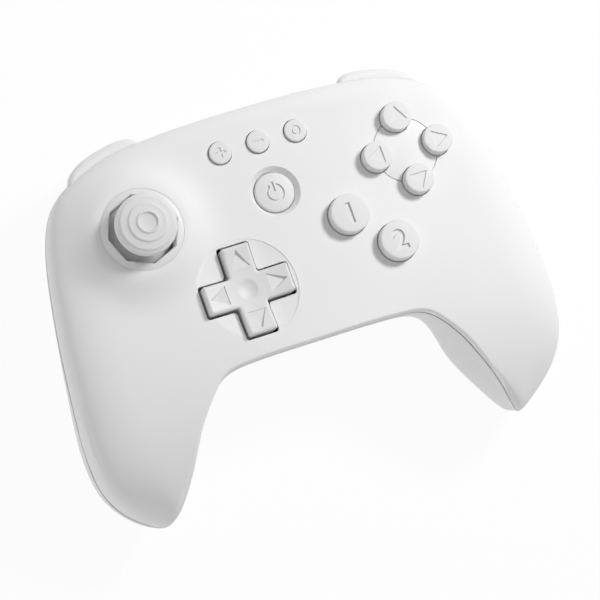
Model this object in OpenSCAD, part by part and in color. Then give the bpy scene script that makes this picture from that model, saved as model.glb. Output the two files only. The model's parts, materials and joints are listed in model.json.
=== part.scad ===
// Wireless gamepad with one stick, a directional pad, four arrow buttons and two action buttons.
// Face frame: X to the right, Y to the shoulders, Z out of the face, zero at the middle button on the face.
// laid() tips the finished pieces so that the pad lies on a table at Z = 0. All sizes in millimetres.

/* [Body] */
// Width across the grips
body_w = 152; // [146:0.5:158]
// Top edge above the row of the stick
top_y = 28.5; // [27:0.5:32]
// Bottom edge between the grips, below the row of the stick
bottom_y = 45.8; // [45:0.2:48]
// Grip ends below the row of the stick
grip_y = 81.8; // [80:0.1:88]
// Grip ends in from the sides of the body
grip_in = 18; // [16:0.5:19]
// Place of the widest point below the row of the stick
widest_y = 52; // [48:0.5:56]
// Wall of both shells
wall = 2.2; // [1.8:0.1:2.6]
// Depth of the joint line under the face, in the middle of the top edge
seam_top = 9; // [8:0.5:10]
// Depth of the joint line in the middle of the bottom edge
seam_bottom = 5.5; // [5:0.5:7]
// Depth of the joint line at the grip ends
seam_tip = 29; // [27:0.5:31]
// Gap at the joint line
seam_gap = 0.3; // [0.2:0.05:0.5]
// Depth of the back under the face, in the middle
back_depth = 26; // [25:0.5:30]
// How much further the grips reach to the back
grip_drop = 19; // [16:0.5:22]
// Rounding of the face's lower edge, which the top and the sides take a multiple of
front_round = 0.9; // [0.8:0.1:1.2]
// Rounding of the back towards its edge
back_round = 20; // [18:0.5:22]
// Tilt of the face when the pad lies on a table
rest_tilt = 6.5; // [5.5:0.5:7.5]

/* [Stick] */
// Stick axis in from the left side of the body
stick_in = 32.9; // [31:0.1:34]
// Height of the mound under the stick
mound_h = 4.6; // [3.5:0.1:5]
// Outer radius of the gate ring
gate_r = 12.4; // [12:0.1:13.5]
// Gate opening across its flats
gate_flats = 19.8; // [19:0.1:21]
// Rise of the gate ring from its edge to its opening
gate_rise = 1; // [0.5:0.1:1.5]
// Diameter of the stick cap
cap_d = 18.4; // [17:0.1:19]
// Height of the stick cap above the face
cap_z = 13.2; // [12.8:0.1:15]
// Height of the pivot of the stick above the board
pivot_up = 3.5; // [3.3:0.1:4]

/* [Directional pad] */
// Directional pad left of the middle
dpad_x = 18.2; // [17.5:0.1:19]
// Directional pad below the row of the stick
dpad_y = 25.7; // [25:0.1:27]
// Length of the cross
dpad_span = 27; // [25:0.1:28]
// Width of an arm
dpad_arm = 8.7; // [8:0.1:9.5]
// Height of the arm ends above the face
dpad_up = 2.4; // [1.5:0.1:3]
// Gap between the cross and its opening
dpad_gap = 0.5; // [0.45:0.05:0.7]
// Width of the dish round the cross
dish_d = 31; // [30:0.5:33]
// Depth of the dish
dish_depth = 1.4; // [1:0.1:1.6]

/* [Buttons] */
// Middle of the arrow buttons in from the right side of the body
arrow_in = 33; // [31:0.1:34]
// Circle through the arrow buttons, radius
arrow_ring_r = 10; // [9.5:0.1:10.5]
// Diameter of an arrow button
arrow_d = 9; // [8.5:0.1:9.5]
// Height of an arrow button above the face
arrow_up = 3.8; // [3:0.1:4.5]
// Rise of the dome inside the arrow buttons
arrow_dome = 1.3; // [0.8:0.1:1.8]
// First action button from the middle of the pad
action_x = 18.5; // [18:0.1:19.5]
// First action button below the row of the stick
action_y = 13.3; // [13:0.1:14]
// Step to the second action button, both to the right and down
action_step = 11.9; // [11.5:0.1:12.5]
// Diameter of an action button
action_d = 12; // [11:0.1:12.6]
// Height of an action button above the face
action_up = 3.9; // [3:0.1:4.5]
// Diameter of the middle button
centre_d = 12.2; // [11:0.1:13]
// Height of the middle button above the face
centre_up = -0.4; // [-0.8:0.1:0]
// Diameter of the cone round the middle button
cone_d = 15.4; // [14.9:0.1:15.8]
// Diameter of a menu button
menu_d = 6.8; // [6:0.1:7.2]
// Height of a menu button above the face
menu_up = 1; // [0.6:0.1:1.5]
// Spacing of the menu buttons
menu_pitch = 12.1; // [11.5:0.1:13]
// Row of the menu buttons above the row of the stick
menu_y = 15.7; // [15:0.1:16.2]
// Gap between a button and its hole
key_gap = 0.25; // [0.2:0.05:0.3]
// Flange that keeps a button in its hole
key_flange = 1.1; // [0.9:0.1:1.3]
// Rounding of the rim of a button
key_round = 0.7; // [0.3:0.1:0.9]

/* [Shoulders] */
// Middle of a bumper in from the side of the body
bumper_in = 31.3; // [30:0.1:32]
// Length of a bumper
bumper_len = 27.5; // [25:0.5:28]
// How far a bumper swells past the top edge
bumper_bulge = 3.4; // [2:0.1:4]
// Height of a bumper
bumper_h = 6; // [5:0.1:6.2]
// Middle of a trigger in from the side of the body
trigger_in = 35; // [34.5:0.5:35.5]
// Width of a trigger
trigger_w = 22; // [20:0.5:22.5]
// Wall of a trigger
trigger_wall = 2.2; // [1.8:0.1:2.6]
// Diameter of the trigger pins
trigger_pin_d = 2; // [1.6:0.1:2.4]
// Diameter of the bumper pins
bumper_pin_d = 1.8; // [1.4:0.1:2]

/* [Inside] */
// Depth of the top of the board under the face
board_depth = 11.5; // [11.2:0.1:12.5]
// Thickness of the board
board_t = 1.2; // [1:0.1:1.6]
// Diameter of a rumble motor
motor_d = 13.4; // [12:0.1:14]
// Length of a rumble motor
motor_len = 14; // [12:0.5:15]
// Radius of an eccentric weight
weight_r = 6.2; // [5.5:0.1:6.5]
// Motor axis in from the side of the body
motor_in = 14; // [13:0.1:15]
// Board edge in from the side of the body
board_in = 20; // [19:0.5:22]
// Battery width, length and thickness
battery = [30, 34, 6.5];
// Diameter of the screw shanks
screw_d = 1.9; // [1.6:0.1:2.1]
// Spacing of the light slits
light_pitch = 4.4; // [4:0.1:5]
// Clearance between pieces that move past each other
slip = 0.3; // [0.3:0.05:0.4]

/* [Hidden] */
$fn = 64;
white = "#f1f1f1";
pale = "#e4e4e4";
rubber = "#c9ccd0";
metal = "#b9bcc0";
dark = "#3a3d42";
green = "#2f6b4a";

// Outline from the top middle round to the bottom middle: X, Y and the depth of the joint line there.
half_w = body_w / 2;
grip_x = half_w - grip_in;
stick_x = half_w - stick_in;
arrow_x = half_w - arrow_in;
bumper_x = half_w - bumper_in;
trigger_x = half_w - trigger_in;
function sweep(x) = asin(x / half_w);
upper = [[0, top_y, -seam_top], [half_w - 39, top_y - 1.5, -seam_top - 1],
    [half_w - 23, top_y - 5.6, -seam_top - 2.2], [half_w - 12.5, top_y - 12.7, -seam_top - 3.2],
    [half_w - 7, top_y - 24.5, -seam_top - 4],
    [half_w - 3.2, top_y - 44, -seam_top - 5.5], [half_w - 0.8, top_y - 64.5, -seam_top - 7.5]];
lower = [[half_w - 1, 18.3 - grip_y, 5.5 - seam_tip], [half_w - 4.7, 10.3 - grip_y, 1 - seam_tip],
    [grip_x + 5.9, 3.3 - grip_y, -seam_tip - 2], [grip_x, -grip_y, -seam_tip],
    [grip_x - 3.7, 2.3 - grip_y, 7 - seam_tip], [grip_x - 8.5, 10.3 - grip_y, 16 - seam_tip],
    [grip_x - 15, 22.3 - grip_y, -seam_bottom - 2], [grip_x - 20.5, -bottom_y - 6.2, 0.7 - seam_bottom],
    [grip_x - 25, -bottom_y - 2, 1 - seam_bottom], [grip_x - 31, -bottom_y - 0.4, 0.5 - seam_bottom],
    [0, -bottom_y, -seam_bottom]];
widest_z = -seam_top - 11;
edge = concat([for (p = upper) [sweep(p[0]), [p[1], p[2]]]], [[90, [-widest_y, widest_z]]],
    [for (p = lower) [180 - sweep(p[0]), [p[1], p[2]]]]);
function edge_part(t, i = 0) = i >= len(edge) - 2 || t < edge[i + 1][0] ? i : edge_part(t, i + 1);
function edge_slope(i) = i == 0 || i == len(edge) - 1 ? [0, 0]
    : (edge[i + 1][1] - edge[i - 1][1]) / (edge[i + 1][0] - edge[i - 1][0]);
function edge_at(t) = let (i = edge_part(t), a = edge[i], b = edge[i + 1], h = b[0] - a[0],
    u = (t - a[0]) / h)
    a[1] * (1 + 2 * u) * (1 - u) ^ 2 + b[1] * u * u * (3 - 2 * u)
    + h * edge_slope(i) * u * (1 - u) ^ 2 - h * edge_slope(i + 1) * u * u * (1 - u);
function edge_y(t) = edge_at(t)[0];

// Width and fullness of the face's edge along the outline: soft over the shoulders and sides, crisp below.
turn_share = [[0, 8], [45, 11], [70, 15.5], [90, 18], [110, 18], [124, 15], [131, 10], [136, 3.5], [141, 1],
    [180, 1]];
full_share = [[0, 2.2], [45, 2.2], [70, 2.1], [90, 2], [110, 1.9], [124, 1.7], [131, 1.5], [136, 1.8],
    [141, 2], [180, 2]];
function face_turn(t) = front_round * lookup(t, turn_share);
function face_full(t) = lookup(t, full_share);

// Slice at a place in the sweep: x, then lower and upper y, cosine, joint depth, edge width and fullness.
sweep_step = 0.25;
function edge_cos(t, a) = let (rise = (edge_y(t + sweep_step) - edge_y(t - sweep_step)) / 2,
    run = half_w * cos(a) * PI / 180 * sweep_step) abs(run) / norm([rise, run]);
function slice(a) = let (t = max(sweep_step, abs(a)), low = edge_at(180 - abs(a)), high = edge_at(abs(a)))
    [half_w * sin(a), low[0], high[0], edge_cos(180 - t, t), edge_cos(t, t), low[1], high[1],
        face_turn(180 - abs(a)), face_turn(abs(a)), face_full(180 - abs(a)), face_full(abs(a))];
function slice_at(x) = slice(sweep(x));

// Sheets that the shells run between: face, joint line and back.
function ease(t) = let (u = max(0, min(1, t))) u * u * (3 - 2 * u);
function bell(t) = exp(-t * t);
function grip_share(x) = ease((abs(x) - 20) / 44);
face_crown = 0.0006;
face_fall = 0.000105;
mound_spread = 7;
function mound(x, y) = mound_h * bell(max(0, norm([x + stick_x, y]) - gate_r) / mound_spread);
function face_sheet(x, y) = mound(x, y) - face_crown * x * x
    - face_fall * max(0, -25 - y) ^ 3 * ease((abs(x) - 10) / 26);
hump_y = 5;
hump_len = 17;
hump_half = 28;
function back_sheet(x, y, hump) = -back_depth - grip_drop * ease((-15 - y) / 45) * grip_share(x)
    - hump * bell((y - hump_y) / hump_len) * (1 - ease((abs(x) - hump_half) / 34));

// Rounded rise from the joint line to a sheet, by distance from the outline.
round_power = 2.2;
function rounded(u, full = round_power) = u >= 1 ? 1 : (1 - (1 - max(0, u)) ^ round_power) ^ (1 / full);
function nearer(l, u) = min(l, u) <= 0 ? 0 : (l ^ -3 + u ^ -3) ^ (-1 / 3);
function along(y, s, k) = s[k] + (s[k + 1] - s[k]) * max(0, min(1, (y - s[1]) / (s[2] - s[1])));
function seam_z(y, s) = along(y, s, 5);

// Smooth distance from the outline, and depth of the joint line near it, drawn from points all round.
rim_steps = 120;
rim_line = [for (i = [0:rim_steps]) let (t = 180 * i / rim_steps, e = edge_at(t))
    [half_w * sin(t), e[0], e[1]]];
rim_mid = [for (i = [0:rim_steps - 1]) (rim_line[i] + rim_line[i + 1]) / 2];
rim_side = [for (i = [0:rim_steps - 1]) let (d = rim_line[i + 1] - rim_line[i]) norm([d[0], d[1]])];
rim_at = concat([for (p = rim_mid) [p[0], p[1]]], [for (p = rim_mid) [-p[0], p[1]]]);
rim_len = concat(rim_side, rim_side);
rim_sunk = [for (i = [0:rim_steps - 1]) rim_side[i] * rim_mid[i][2]];
rim_deep = concat(rim_sunk, rim_sunk);
rim_t = [for (i = [0:rim_steps - 1]) 180 * (i + 0.5) / rim_steps];
rim_turned = [for (i = [0:rim_steps - 1]) rim_side[i] * face_turn(rim_t[i]) ^ 3];
rim_filled = [for (i = [0:rim_steps - 1]) rim_turned[i] * face_full(rim_t[i])];
rim_soft = concat(rim_turned, rim_turned);
rim_full = concat(rim_filled, rim_filled);
rim_near = 0.5;
rim_blend = [2, 6];
function rim_pull(at) = [for (p = rim_at) max(rim_near, norm(at - p)) ^ -4];
function from_rim(y, s) = let (low = (y - s[1]) * s[3], high = (s[2] - y) * s[4], close = nearer(low, high),
    pull = rim_pull([s[0], y]), total = pull * rim_len,
    share = ease((close - rim_blend[0]) / rim_blend[1]), wide = (total * 2 / PI) ^ (-1 / 3),
    line = seam_z(y, s), depth = (pull * rim_deep) / total,
    turned = nearer(low / s[7], high / s[8]), soft = (pull * rim_soft * 2 / PI) ^ (-1 / 3),
    lean = along(y, s, 9), full = (pull * rim_full) / (pull * rim_soft))
    [close + (wide - close) * share, line + (depth - line) * share, turned + (soft - turned) * share,
        lean + (full - lean) * share];
function front_z(y, s) = let (r = from_rim(y, s), j = r[1] + seam_gap / 2)
    j + (face_sheet(s[0], y) - j) * rounded(r[2], r[3]);
grip_fill = 0.6;
function edge_turn(x, y) = back_round * (1 - grip_fill * ease((-30 - y) / 25) * grip_share(x)
    * ease((half_w - abs(x)) / 14));
function back_z(y, s, hump) = let (r = from_rim(y, s), j = r[1] - seam_gap / 2)
    j + (back_sheet(s[0], y, hump) - j) * rounded(r[0] / edge_turn(s[0], y));
grip_lean = 0.2;
function inward(y, s, z) = -sign(s[0]) * grip_lean * (seam_z(y, s) - z)
    * ease((2 - bottom_y - y) / 14) * ease((grip_x + 6 - abs(s[0])) / 18);
function face_at(x, y) = front_z(y, slice_at(x));
function back_at(x, y) = back_z(y, slice_at(x), hump);

// Lie of the pad: the grips and the hump behind the shoulders touch the table.
rest_flat = 0.4;
function height_laid(y, z) = z * cos(rest_tilt) - y * sin(rest_tilt);
function y_laid(y, z) = y * cos(rest_tilt) + z * sin(rest_tilt);
grip_low = min([for (a = [40:3:70]) let (s = slice(a)) for (y = [4 - grip_y:3:-42])
    if (y > s[1]) height_laid(y, back_z(y, s, 0))]);
lift = -grip_low - rest_flat;
hump = (lift + rest_flat - hump_y * sin(rest_tilt)) / cos(rest_tilt) - back_depth;

// Shoulder pieces, in the plane across the pad.
hinge_y = 14.5;
hinge_z = -16.5;
trigger_top = [26.8, -13.9];
trigger_bend = [27.5, -22];
trigger_tip = [30.8, -27.2];
trigger_edge = 0.8;
function trigger_back(x) = edge_y(sweep(x)) - edge_y(sweep(trigger_x));
y_front = y_laid(trigger_tip[0] + trigger_back(trigger_x - trigger_w / 2 + trigger_edge), trigger_tip[1]);
y_rear = y_laid(-grip_y, -seam_tip);
y_shift = -(y_front + y_rear) / 2;
module laid() {
    translate([0, y_shift, lift])
        rotate([-rest_tilt, 0, 0])
            children();
}
module both_sides() {
    children();
    mirror([1, 0, 0])
        children();
}
module left_side() {
    mirror([1, 0, 0])
        children();
}

// Shell between an outer skin and the same skin moved in by the wall.
columns = 52;
rows = 20;
sweep_end = 86;
function skin(back) = [for (i = [0:columns]) let (s = slice(sweep_end * (2 * i / columns - 1)))
    [for (j = [0:rows]) let (y = s[1] + (s[2] - s[1]) * (1 - cos(180 * j / rows)) / 2)
        let (z = back ? back_z(y, s, hump) : front_z(y, s)) [s[0] + (back ? inward(y, s, z) : 0), y, z]]];
function unit(v) = v / norm(v);
function rim_over(p) = let (pull = rim_pull([p[0], p[1]]))
    (pull * rim_deep) / (pull * rim_len) + seam_gap / 2;
function facing(g, i, j) = let (n = cross(g[min(i + 1, columns)][j] - g[max(i - 1, 0)][j],
    g[i][min(j + 1, rows)] - g[i][max(j - 1, 0)])) unit(n);
function out_of_rim(g, i, j) = let (d = g[min(i + 1, columns)][j] - g[max(i - 1, 0)][j])
    (j == 0 ? 1 : -1) * unit([d[1], -d[0], 0]);
function lining(g, back) = [for (i = [0:columns]) [for (j = [0:rows])
    let (p = g[i][j] - (back ? -1 : 1) * wall * facing(g, i, j))
    j == 0 || j == rows ? g[i][j] - wall * out_of_rim(g, i, j)
        : back ? p : [p[0], p[1], max(p[2], rim_over(p))]]];
module shell(back) {
    outer = skin(back);
    inner = lining(outer, back);
    side = rows + 1;
    count = (columns + 1) * side;
    end_z = widest_z + (back ? -1 : 1) * seam_gap / 2;
    ends = [for (s = [-1, 1]) for (w = [0, wall]) [s * (half_w - w), -widest_y, end_z]];
    points = concat([for (c = outer) each c], [for (c = inner) each c], ends);
    function at(i, j, k) = k * count + i * side + j;
    function end_at(s, k) = 2 * count + 2 * s + k;
    function four(a, b, c, d) = [[a, b, c], [a, c, d]];
    skins = [for (i = [0:columns - 1]) for (j = [0:rows - 1]) each concat(
        four(at(i, j, 0), at(i, j + 1, 0), at(i + 1, j + 1, 0), at(i + 1, j, 0)),
        four(at(i, j, 1), at(i + 1, j, 1), at(i + 1, j + 1, 1), at(i, j + 1, 1)))];
    fans = [for (j = [0:rows - 1]) each [
        [at(columns, j, 0), at(columns, j + 1, 0), end_at(1, 0)],
        [at(columns, j, 1), end_at(1, 1), at(columns, j + 1, 1)],
        [at(0, j, 0), end_at(0, 0), at(0, j + 1, 0)],
        [at(0, j, 1), at(0, j + 1, 1), end_at(0, 1)]]];
    rims = [for (i = [0:columns - 1]) each concat(
        four(at(i, 0, 0), at(i + 1, 0, 0), at(i + 1, 0, 1), at(i, 0, 1)),
        four(at(i, rows, 0), at(i, rows, 1), at(i + 1, rows, 1), at(i + 1, rows, 0)))];
    corners = concat(
        four(at(columns, 0, 0), end_at(1, 0), end_at(1, 1), at(columns, 0, 1)),
        four(end_at(1, 0), at(columns, rows, 0), at(columns, rows, 1), end_at(1, 1)),
        four(end_at(0, 0), at(0, 0, 0), at(0, 0, 1), end_at(0, 1)),
        four(at(0, rows, 0), end_at(0, 0), end_at(0, 1), at(0, rows, 1)));
    faces = concat(skins, fans, rims, corners);
    polyhedron(points, back ? [for (f = faces) [f[0], f[2], f[1]]] : faces);
}

// Places on the face.
key_base = 3.5 - board_depth;
board_top = -board_depth;
board_low = board_top - board_t;
stick_at = [-stick_x, 0];
dpad_at = [-dpad_x, -dpad_y];
arrow_at = [arrow_x, 0.8];
action_at = [[action_x, -action_y], [action_x + action_step, -action_y - action_step]];
menu_at = [for (i = [-1:1]) [i * menu_pitch, menu_y]];
function arrow_place(a) = arrow_at + arrow_ring_r * [cos(a), sin(a)];
function face_on(p) = face_at(p[0], p[1]);
module at_place(p, z = 0) {
    translate([p[0], p[1], z])
        children();
}

// Round button with a flange under the face; up is its height above the face at its place.
key_stem = 1;
flange_t = 1;
module key(p, d, up) {
    top = face_on(p) + up;
    r = d / 2;
    stop = min([for (a = [0:30:330]) face_on(p + (r + key_flange) * [cos(a), sin(a)])]) - wall * 1.1 - slip;
    rim = [for (a = [0:15:90]) [r - key_round + key_round * cos(a), top - key_round + key_round * sin(a)]];
    at_place(p)
        rotate_extrude()
            polygon(concat([[0, key_base], [r - key_stem, key_base], [r - key_stem, stop - flange_t],
                [r + key_flange, stop - flange_t], [r + key_flange, stop], [r, stop]], rim, [[0, top]]));
}
module key_hole(p, d) {
    at_place(p, board_top)
        cylinder(d = d + 2 * key_gap, h = board_depth + 9);
}
mark_depth = 0.4;
module arrow_mark(size) {
    translate([0, 0, -mark_depth])
        cylinder(r = size, h = 3, $fn = 3);
}
arrow_mark_r = 2.9;
module arrow_key(a) {
    p = arrow_place(a);
    difference() {
        key(p, arrow_d, arrow_up);
        at_place(p, face_on(p) + arrow_up)
            rotate(a)
                arrow_mark(arrow_mark_r);
    }
}

// Screws and the posts that they draw together.
screw_at = [[trigger_x - 21, 8], [38, -33]];
post_r = 2.8;
head_d = 3.8;
head_h = 1.6;
post_floor = 2;
screw_reach = 6;
module front_post(p) {
    difference() {
        at_place(p, board_top)
            cylinder(r = post_r, h = face_on(p) - wall / 2 - board_top);
        at_place(p, board_top - 1)
            cylinder(d = screw_d + 0.1, h = screw_reach + 1.5);
    }
}
module back_post(p) {
    floor_z = back_at(p[0], p[1]) + wall * 0.7;
    at_place(p, floor_z)
        cylinder(r = post_r + 0.6, h = board_low - floor_z);
}
module back_post_bore(p) {
    at_place(p, -90)
        cylinder(d = head_d + 0.6, h = 90 + board_low - post_floor);
    at_place(p, -30)
        cylinder(d = screw_d + 0.4, h = 40);
}

// Openings in the edge: the USB socket, the pairing button, the light slits.
usb_w = 8.94;
usb_h = 3.16;
usb_len = 7.35;
usb_gap = 0.5;
usb_z = board_top + usb_h / 2;
usb_y = top_y - 0.8 - usb_len;
module slot_along_y(w, h, len) {
    rotate([-90, 0, 0])
        linear_extrude(len)
            union() {
                square([w - h, h], center = true);
                for (s = [-1, 1])
                    translate([s * (w - h) / 2, 0])
                        circle(d = h);
            }
}
module usb_opening() {
    translate([0, usb_y - 1, usb_z])
        slot_along_y(usb_w + 2 * usb_gap, usb_h + 2 * usb_gap, usb_len + 9);
}
pair_x = half_w - 58;
pair_d = 3.4;
pair_z = board_top + 2;
pair_out = edge_y(sweep(pair_x)) + 0.3;
module pair_bore() {
    translate([pair_x, top_y - 8, pair_z])
        rotate([-90, 0, 0])
            cylinder(d = pair_d + 2 * key_gap, h = 16);
}
light_x = [for (i = [0:3]) light_pitch * (i - 0.85)];
light_w = 2;
light_h = 0.9;
light_z = board_low - 2.3;
light_share = (light_z + seam_bottom) / (seam_bottom - back_depth);
light_y = back_round * (1 - (1 - light_share ^ round_power) ^ (1 / round_power)) - bottom_y;
module light_bar(x, y, len, grow) {
    translate([x - light_w / 2 - grow, y, light_z - light_h / 2 - grow])
        cube([light_w + 2 * grow, len, light_h + 2 * grow]);
}

// Bumper: a rounded bar along the shoulder that swells past the top edge.
bumper_top = -6.4;
bumper_deep = 4.5;
bumper_steps = 14;
bumper_pin_at = [half_w - 48.5, 20.5];
function bumper_ring(x, grow) = let (u = abs(x - bumper_x) / (bumper_len / 2), e = edge_y(sweep(x)),
    r = bumper_h / 2 + grow, out = e + bumper_bulge * sqrt(max(0, 1 - u ^ 3)) + grow,
    c = bumper_top - bumper_h / 2)
    concat([for (b = [-90:22.5:90]) [x, out - r * (1 - cos(b)) * 0.8, c + r * sin(b)]],
    [[x, e - bumper_deep - grow, c + r], [x, e - bumper_deep - grow, c - r]]);
module loft(rings) {
    n = len(rings[0]);
    m = len(rings);
    sides = [for (i = [0:m - 2]) for (j = [0:n - 1]) let (k = (j + 1) % n) each [
        [i * n + j, (i + 1) * n + k, i * n + k], [i * n + j, (i + 1) * n + j, (i + 1) * n + k]]];
    strip = [for (j = [0:floor(n / 2) - 1]) let (k = n - 1 - j) each j + 1 < k - 1
        ? [[j, j + 1, k - 1], [j, k - 1, k]] : j + 1 < k ? [[j, j + 1, k]] : []];
    last = (m - 1) * n;
    caps = concat(strip, [for (f = strip) [last + f[0], last + f[2], last + f[1]]]);
    polyhedron([for (r = rings) each r], concat(sides, caps));
}
module bumper_bar(grow) {
    half = bumper_len / 2 + grow;
    loft([for (i = [0:bumper_steps]) bumper_ring(bumper_x + half * (2 * i / bumper_steps - 1), grow)]);
}
module bumper() {
    difference() {
        union() {
            bumper_bar(0);
            at_place(bumper_pin_at, bumper_top - bumper_h)
                cylinder(r = 2.2, h = bumper_h);
            at_place(bumper_pin_at - [0, 2.2], bumper_top - bumper_h)
                cube([7, 5.8, bumper_h - 1]);
        }
        at_place(bumper_pin_at, bumper_top - bumper_h - 1)
            cylinder(d = bumper_pin_d + 0.1, h = bumper_h + 2);
    }
}
bumper_room = 1.8;
module bumper_window() {
    bumper_bar(0.45);
    translate([0, -bumper_room, 0])
        bumper_bar(0.45);
}

// Trigger: a curved finger plate with two cheeks and a hinge boss.
trigger_steps = 8;
function bend(a, b, c, t) = a * (1 - t) ^ 2 + b * 2 * t * (1 - t) + c * t * t;
function trigger_outline(in) = let (w = trigger_wall - in)
    concat([for (i = [trigger_steps:-1:0]) bend(trigger_top + [-in, -in], trigger_bend + [-in, 0],
        trigger_tip + [-in, in], i / trigger_steps)],
    [for (i = [0:trigger_steps]) bend(trigger_top + [-w, -in], trigger_bend + [-w, -w * 0.4],
        trigger_tip + [-w * 0.6, -w * 0.75], i / trigger_steps)]);
boss_r = 2.6;
cheek_t = 1.8;
cheek_in = 4;
module across(x, w) {
    translate([x, 0, 0])
        rotate([90, 0, 90])
            linear_extrude(w)
                children();
}
module trigger() {
    x0 = trigger_x - trigger_w / 2;
    x1 = trigger_x + trigger_w / 2;
    flat = trigger_w - 2 * trigger_edge;
    ring = concat([[x0, trigger_edge], [x0 + trigger_edge * 0.3, trigger_edge * 0.3]],
        [for (i = [0:6]) [x0 + trigger_edge + flat * i / 6, 0]],
        [[x1 - trigger_edge * 0.3, trigger_edge * 0.3], [x1, trigger_edge]]);
    web = trigger_outline(trigger_wall / 2);
    difference() {
        union() {
            loft([for (r = ring) [for (p = trigger_outline(r[1])) [r[0], p[0] + trigger_back(r[0]), p[1]]]]);
            for (x = [x0 + cheek_in, x1 - cheek_in - cheek_t])
                across(x, cheek_t)
                    polygon(concat([for (i = [0:trigger_steps]) web[i] + [trigger_back(x + cheek_t / 2), 0]],
                        [[hinge_y, -14.2], [hinge_y, hinge_z - boss_r],
                        [hinge_y + 7, hinge_z - boss_r - 1]]));
            across(x0 + 0.6, trigger_w - 1.2)
                translate([hinge_y, hinge_z])
                    circle(r = boss_r);
        }
        across(x0 - 1, trigger_w + 2)
            translate([hinge_y, hinge_z])
                circle(d = trigger_pin_d + 0.1);
    }
}
trigger_room = 0.6;
module trigger_window() {
    translate([trigger_x - trigger_w / 2 - trigger_room, 17, -60])
        cube([trigger_w + 2 * trigger_room, 40, 60 + trigger_top[1] + 1.3]);
}

// Shells.
centre_cone = 1.6;
dpad_well = 16.2;
dpad_well_deep = 1.6;
sleeve_r = 11.2;
gate_edge_z = face_sheet(-stick_x, 0) - 0.1;
gate_seat_z = gate_edge_z - 1.2;
dish_r = (dish_d * dish_d / 4 + dish_depth * dish_depth) / (2 * dish_depth);
function tilt_at(x) = atan(2 * face_crown * x);
module cross_plan(span, arm) {
    square([span, arm], center = true);
    square([arm, span], center = true);
}
module front_shell() {
    dpad_z = face_on(dpad_at);
    color(white) laid()
        difference() {
            union() {
                shell(false);
                at_place(arrow_at, face_on(arrow_at))
                    rotate([0, tilt_at(arrow_x), 0])
                        arrow_dome_disc();
                at_place(dpad_at, dpad_z - wall - dpad_well_deep)
                    cylinder(r = dpad_well, h = dpad_well_deep + wall / 2);
                both_sides()
                    for (p = screw_at)
                        front_post(p);
            }
            at_place(stick_at, gate_seat_z)
                cylinder(r = gate_r + 0.1, h = 9);
            at_place(stick_at, board_top)
                cylinder(r = sleeve_r + 0.1, h = 20);
            intersection() {
                at_place(dpad_at, dpad_z - dish_depth + dish_r)
                    sphere(r = dish_r, $fn = 128);
                at_place(dpad_at, dpad_z - 5)
                    cylinder(d = dish_d, h = 10);
            }
            at_place(dpad_at, board_top)
                linear_extrude(20)
                    cross_plan(dpad_span + 2 * dpad_gap, dpad_arm + 2 * dpad_gap);
            at_place([0, 0], face_at(0, 0) - centre_cone)
                cylinder(d1 = centre_d + 2 * key_gap, d2 = cone_d + 0.4, h = centre_cone + 0.2);
            key_hole([0, 0], centre_d);
            for (p = menu_at)
                key_hole(p, menu_d);
            for (p = action_at)
                key_hole(p, action_d);
            for (a = [0:90:270])
                key_hole(arrow_place(a), arrow_d);
            usb_opening();
            pair_bore();
            both_sides()
                bumper_window();
        }
}
dome_step = 0.25;
module arrow_dome_disc() {
    rise = [for (i = [0:6]) let (r = arrow_ring_r * (1 - i / 6))
        [r, dome_step + (arrow_dome - dome_step) * (1 - (r / arrow_ring_r) ^ 2)]];
    rotate_extrude()
        polygon(concat([[0, -wall / 2], [arrow_ring_r, -wall / 2]], rise));
}
motor_at = [half_w - motor_in, -57];
motor_z = -27;
cradle_w = 7;
module motor_body(grow) {
    translate([motor_at[0], motor_at[1] + motor_len / 2, motor_z])
        rotate([90, 0, 0])
            cylinder(d = motor_d + 2 * grow, h = motor_len);
}
module motor_cradle() {
    floor_z = back_at(motor_at[0], motor_at[1]) + wall * 0.6;
    difference() {
        translate([motor_at[0] - cradle_w / 2, motor_at[1] - cradle_w / 2, floor_z])
            cube([cradle_w, cradle_w, motor_z - floor_z]);
        motor_body(0);
    }
}
module back_shell() {
    color(white)
        difference() {
            laid()
                difference() {
                    union() {
                        shell(true);
                        both_sides() {
                            motor_cradle();
                            for (p = screw_at)
                                back_post(p);
                        }
                    }
                    both_sides() {
                        trigger_window();
                        bumper_window();
                        for (p = screw_at)
                            back_post_bore(p);
                    }
                    usb_opening();
                    pair_bore();
                    for (x = light_x)
                        light_bar(x, light_y - 4, 8, 0.15);
                }
            translate([-body_w, -2 * grip_y, -20])
                cube([2 * body_w, 4 * grip_y, 20]);
        }
}

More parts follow.
